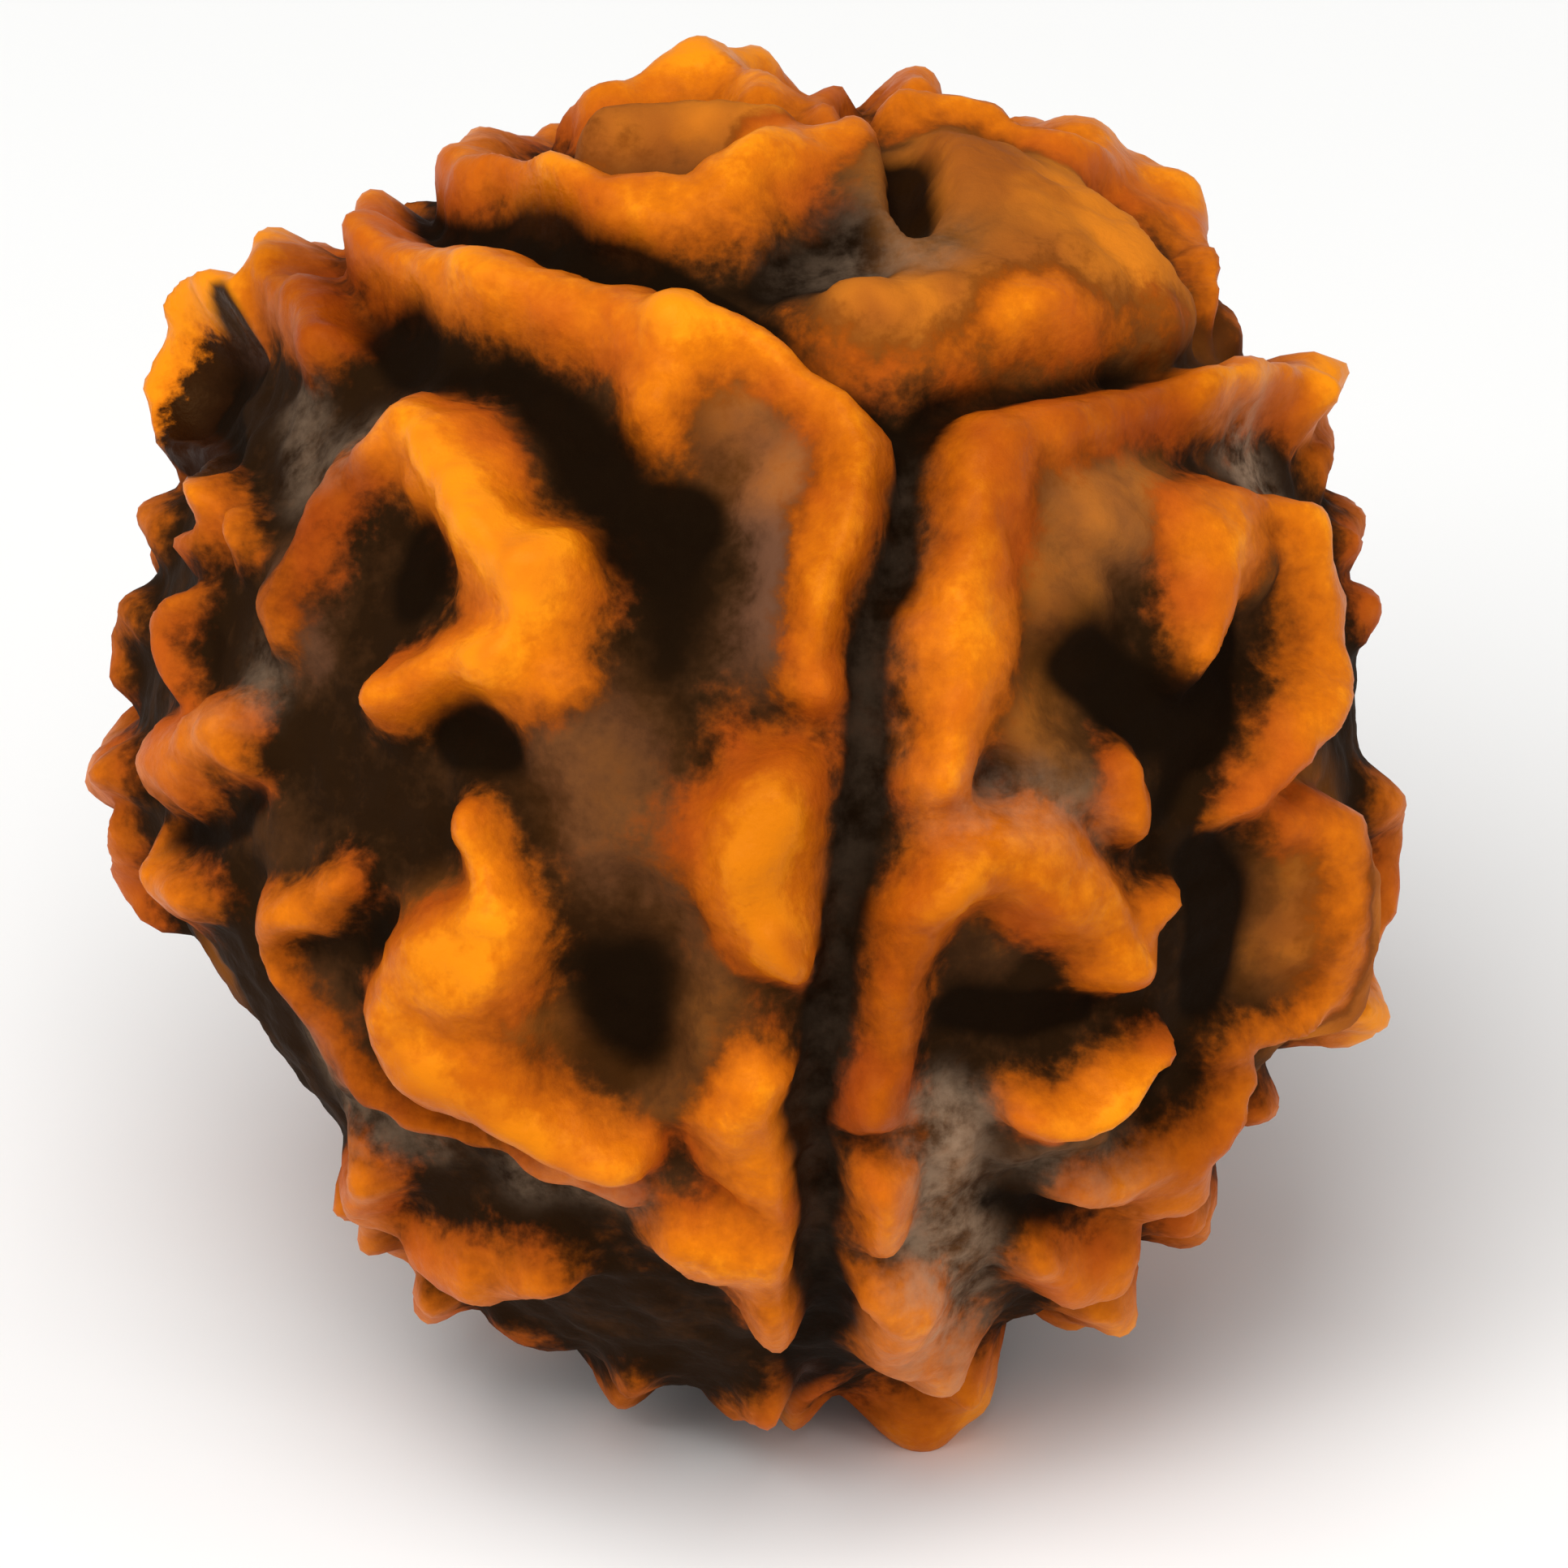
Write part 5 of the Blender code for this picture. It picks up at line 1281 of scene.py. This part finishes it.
@dataclass
class Bead:
    """The stone, in one piece."""

    name: str = "rudraksha_stone"
    cells: int = 126
    evening_rounds: int = 3
    smoothing_rounds: int = 6
    smoothing_share: float = 0.5
    colour_rounds: int = 3
    finish: OiledStone = field(default_factory=OiledStone)

    def base(self) -> bpy.types.Mesh:
        """Blows a divided cube up into a ball of even cells.

        Returns:
            A ball of radius one.
        """
        work = bmesh.new()
        bmesh.ops.create_cube(work, size=2)
        bmesh.ops.subdivide_edges(work, edges=work.edges[:], cuts=self.cells - 1, use_grid_fill=True)
        mesh = bpy.data.meshes.new(self.name)
        work.to_mesh(mesh)
        work.free()
        corners = np.tan(self.read(mesh, "co") * math.pi / 4)
        mesh.vertices.foreach_set("co", unit(corners).ravel())
        return mesh

    def read(self, mesh: bpy.types.Mesh, what: str) -> np.ndarray:
        """Reads a vector of each of the mesh's vertices.

        Args:
            mesh: The mesh.
            what: "co" for the places or "normal" for the normals.

        Returns:
            The vectors, one a row.
        """
        vectors = np.empty(len(mesh.vertices) * 3)
        mesh.vertices.foreach_get(what, vectors)
        return vectors.reshape(-1, 3)

    def both_ends(self, mesh: bpy.types.Mesh) -> tuple[np.ndarray, np.ndarray]:
        """Takes the mesh's edges in both senses.

        Args:
            mesh: The mesh.

        Returns:
            Each vertex's number, and beside it its neighbour's.
        """
        ends = np.empty(len(mesh.edges) * 2, int)
        mesh.edges.foreach_get("vertices", ends)
        first, second = ends.reshape(-1, 2).T
        return np.append(first, second), np.append(second, first)

    def averaged(self, values: np.ndarray, ends: tuple[np.ndarray, np.ndarray]) -> np.ndarray:
        """Averages values over each vertex's neighbours.

        Args:
            values: One row a vertex.
            ends: Each vertex's number beside its neighbour's.

        Returns:
            The averages, one row a vertex.
        """
        here, there = ends
        count = np.bincount(here)
        columns = [np.bincount(here, weights=column[there]) / count for column in values.T]
        return np.stack(columns, axis=-1)

    def raise_relief(self, mesh: bpy.types.Mesh) -> None:
        """Moves the ball's points out to the stone's skin and notes what its colour follows.

        The points are first shifted so that steep walls get as many of them as open ground.

        Args:
            mesh: The ball, which becomes the stone in the part frame, in metres.
        """
        ends = self.both_ends(mesh)
        directions = self.read(mesh, "co")
        for _ in range(self.evening_rounds):
            directions = unit(self.averaged(directions * Skin(directions).radius()[:, None], ends))
        skin = Skin(directions, coloured=True)
        points = directions * skin.radius()[:, None]
        points = (lean(points, TILT_DEG) + (0, 0, REST_DROP)) * MM
        mesh.vertices.foreach_set("co", points.ravel())
        shares = {
            "crest": np.maximum(skin.ridge / FULL_CREST, skin.foot),
            "shelf": skin.shelf / FULL_SHELF,
            "sunk": skin.hollow,
            "seam": skin.seam,
            **skin.stains_and_shade,
        }
        values = np.stack(list(shares.values()), axis=-1)
        for _ in range(self.colour_rounds):
            values = self.averaged(values, ends)
        for name, column in zip(shares, values.T):
            layer = mesh.attributes.new(name, "FLOAT", "POINT")
            layer.data.foreach_set("value", column.astype(np.float32))

    def wear(self, mesh: bpy.types.Mesh) -> None:
        """Smooths the finest steps, then raises fine lumps, which fade out towards the ground.

        Args:
            mesh: The stone.
        """
        work = bmesh.new()
        work.from_mesh(mesh)
        for _ in range(self.smoothing_rounds):
            bmesh.ops.smooth_vert(work, verts=work.verts[:], factor=self.smoothing_share, use_axis_x=True,
                                  use_axis_y=True, use_axis_z=True)
        work.to_mesh(mesh)
        work.free()
        rng = np.random.default_rng(LUMP_SEED)
        points = self.read(mesh, "co")
        rise = sum(height * Waves(rng, wavelength).at(points / MM) for wavelength, height in LUMPS) * MM
        rise *= smooth(points[:, 2] / (LUMP_FADE * MM))
        mesh.vertices.foreach_set("co", (points + self.read(mesh, "normal") * rise[:, None]).ravel())

    def settle(self, mesh: bpy.types.Mesh) -> None:
        """Cuts each foot flat where it meets the ground.

        Args:
            mesh: The stone.
        """
        work = bmesh.new()
        work.from_mesh(mesh)
        for face in work.faces:
            face.smooth = True
        everything = [*work.verts, *work.edges, *work.faces]
        cut = bmesh.ops.bisect_plane(work, geom=everything, dist=1e-7, plane_co=(0, 0, 0),
                                     plane_no=(0, 0, 1), clear_inner=True)
        rim = [item for item in cut["geom_cut"] if isinstance(item, bmesh.types.BMEdge)]
        bmesh.ops.holes_fill(work, edges=rim, sides=0)
        bmesh.ops.recalc_face_normals(work, faces=work.faces[:])
        work.to_mesh(mesh)
        work.free()

    def build(self) -> bpy.types.Object:
        """Builds and dresses the stone, and puts it in the CAD node's place.

        Returns:
            The stone.
        """
        mesh = self.base()
        self.raise_relief(mesh)
        self.wear(mesh)
        self.settle(mesh)
        mesh.materials.append(self.finish.material())
        stone = bpy.data.objects.new(self.name, mesh)
        bpy.context.scene.collection.objects.link(stone)
        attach(stone, "root")
        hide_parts("bead")
        return stone


@dataclass
class Studio:
    """A pale floor, soft lights and a camera at the photograph's angle, in millimetres but for the clips."""

    floor_side: float = 3000.0
    picture_side: float = 24.15
    picture_centre: tuple[float, float] = (0.5125, -0.55)
    lens: float = 500.0
    sensor: float = 36.0
    elevation: float = 30.0
    world_light: float = 0.42
    near_and_far_clip: tuple[float, float] = (0.01, 10.0)
    # Each light: place, side, power in watts
    lights: tuple[tuple[Place, float, float], ...] = (
        ((-60.0, -190.0, 330.0), 260.0, 1.35),
        ((-260.0, -160.0, 160.0), 220.0, 0.25),
        ((260.0, -140.0, 140.0), 220.0, 0.2),
    )

    def floor(self) -> bpy.types.Object:
        """Lays the floor, which isn't part of the object.

        Returns:
            The floor.
        """
        work = bmesh.new()
        bmesh.ops.create_grid(work, x_segments=2, y_segments=2, size=self.floor_side * MM / 2)
        mesh = bpy.data.meshes.new("floor")
        work.to_mesh(mesh)
        work.free()
        mesh.materials.append(PaleFloor().material())
        floor = bpy.data.objects.new("floor", mesh)
        bpy.context.scene.collection.objects.link(floor)
        return floor

    def light(self) -> None:
        """Hangs the soft lights and sets the pale surroundings."""
        target = Vector((0, 0, REST_DROP * MM))
        for number, (place, side, power) in enumerate(self.lights):
            lamp = bpy.data.lights.new(f"softbox_{number}", "AREA")
            lamp.shape = "SQUARE"
            lamp.size = side * MM
            lamp.energy = power
            hung = bpy.data.objects.new(lamp.name, lamp)
            hung.location = Vector(place) * MM
            hung.rotation_euler = (target - hung.location).to_track_quat("-Z", "Y").to_euler()
            bpy.context.scene.collection.objects.link(hung)
        world = bpy.data.worlds.new("studio")
        bpy.context.scene.world = world
        world.use_nodes = True
        sky = world.node_tree.nodes["Background"]
        sky.inputs["Color"].default_value = (1.0, 1.0, 1.0, 1.0)
        sky.inputs["Strength"].default_value = self.world_light

    def camera(self) -> None:
        """Stands the camera as the photograph's, far off with a long lens."""
        tilt = math.radians(self.elevation)
        right = Vector((1, 0, 0))
        back = Vector((0, -math.cos(tilt), math.sin(tilt)))
        up = back.cross(right)
        across, rise = self.picture_centre
        aim = Vector((0, 0, REST_DROP)) + right * across + up * rise
        data = bpy.data.cameras.new("camera")
        data.lens = self.lens
        data.sensor_width = self.sensor
        data.clip_start, data.clip_end = self.near_and_far_clip
        stand = bpy.data.objects.new("camera", data)
        far = self.picture_side * self.lens / self.sensor
        turn = Matrix((right, up, back)).transposed().to_4x4()
        stand.matrix_world = Matrix.Translation((aim + back * far) * MM) @ turn
        bpy.context.scene.collection.objects.link(stand)
        bpy.context.scene.camera = stand
        bpy.context.scene.view_settings.view_transform = "Standard"


def main() -> None:
    """Builds the stone and the studio, and reports each."""
    logging.basicConfig(level=logging.INFO, format="%(name)s: %(message)s")
    stone = Bead().build()
    log.info("%s: %d vertices, %d faces", stone.name, len(stone.data.vertices), len(stone.data.polygons))
    studio = Studio()
    log.info("%s laid", studio.floor().name)
    studio.light()
    log.info("%d lights hung", len(studio.lights))
    studio.camera()
    log.info("camera set")


if __name__ == "__main__":
    main()
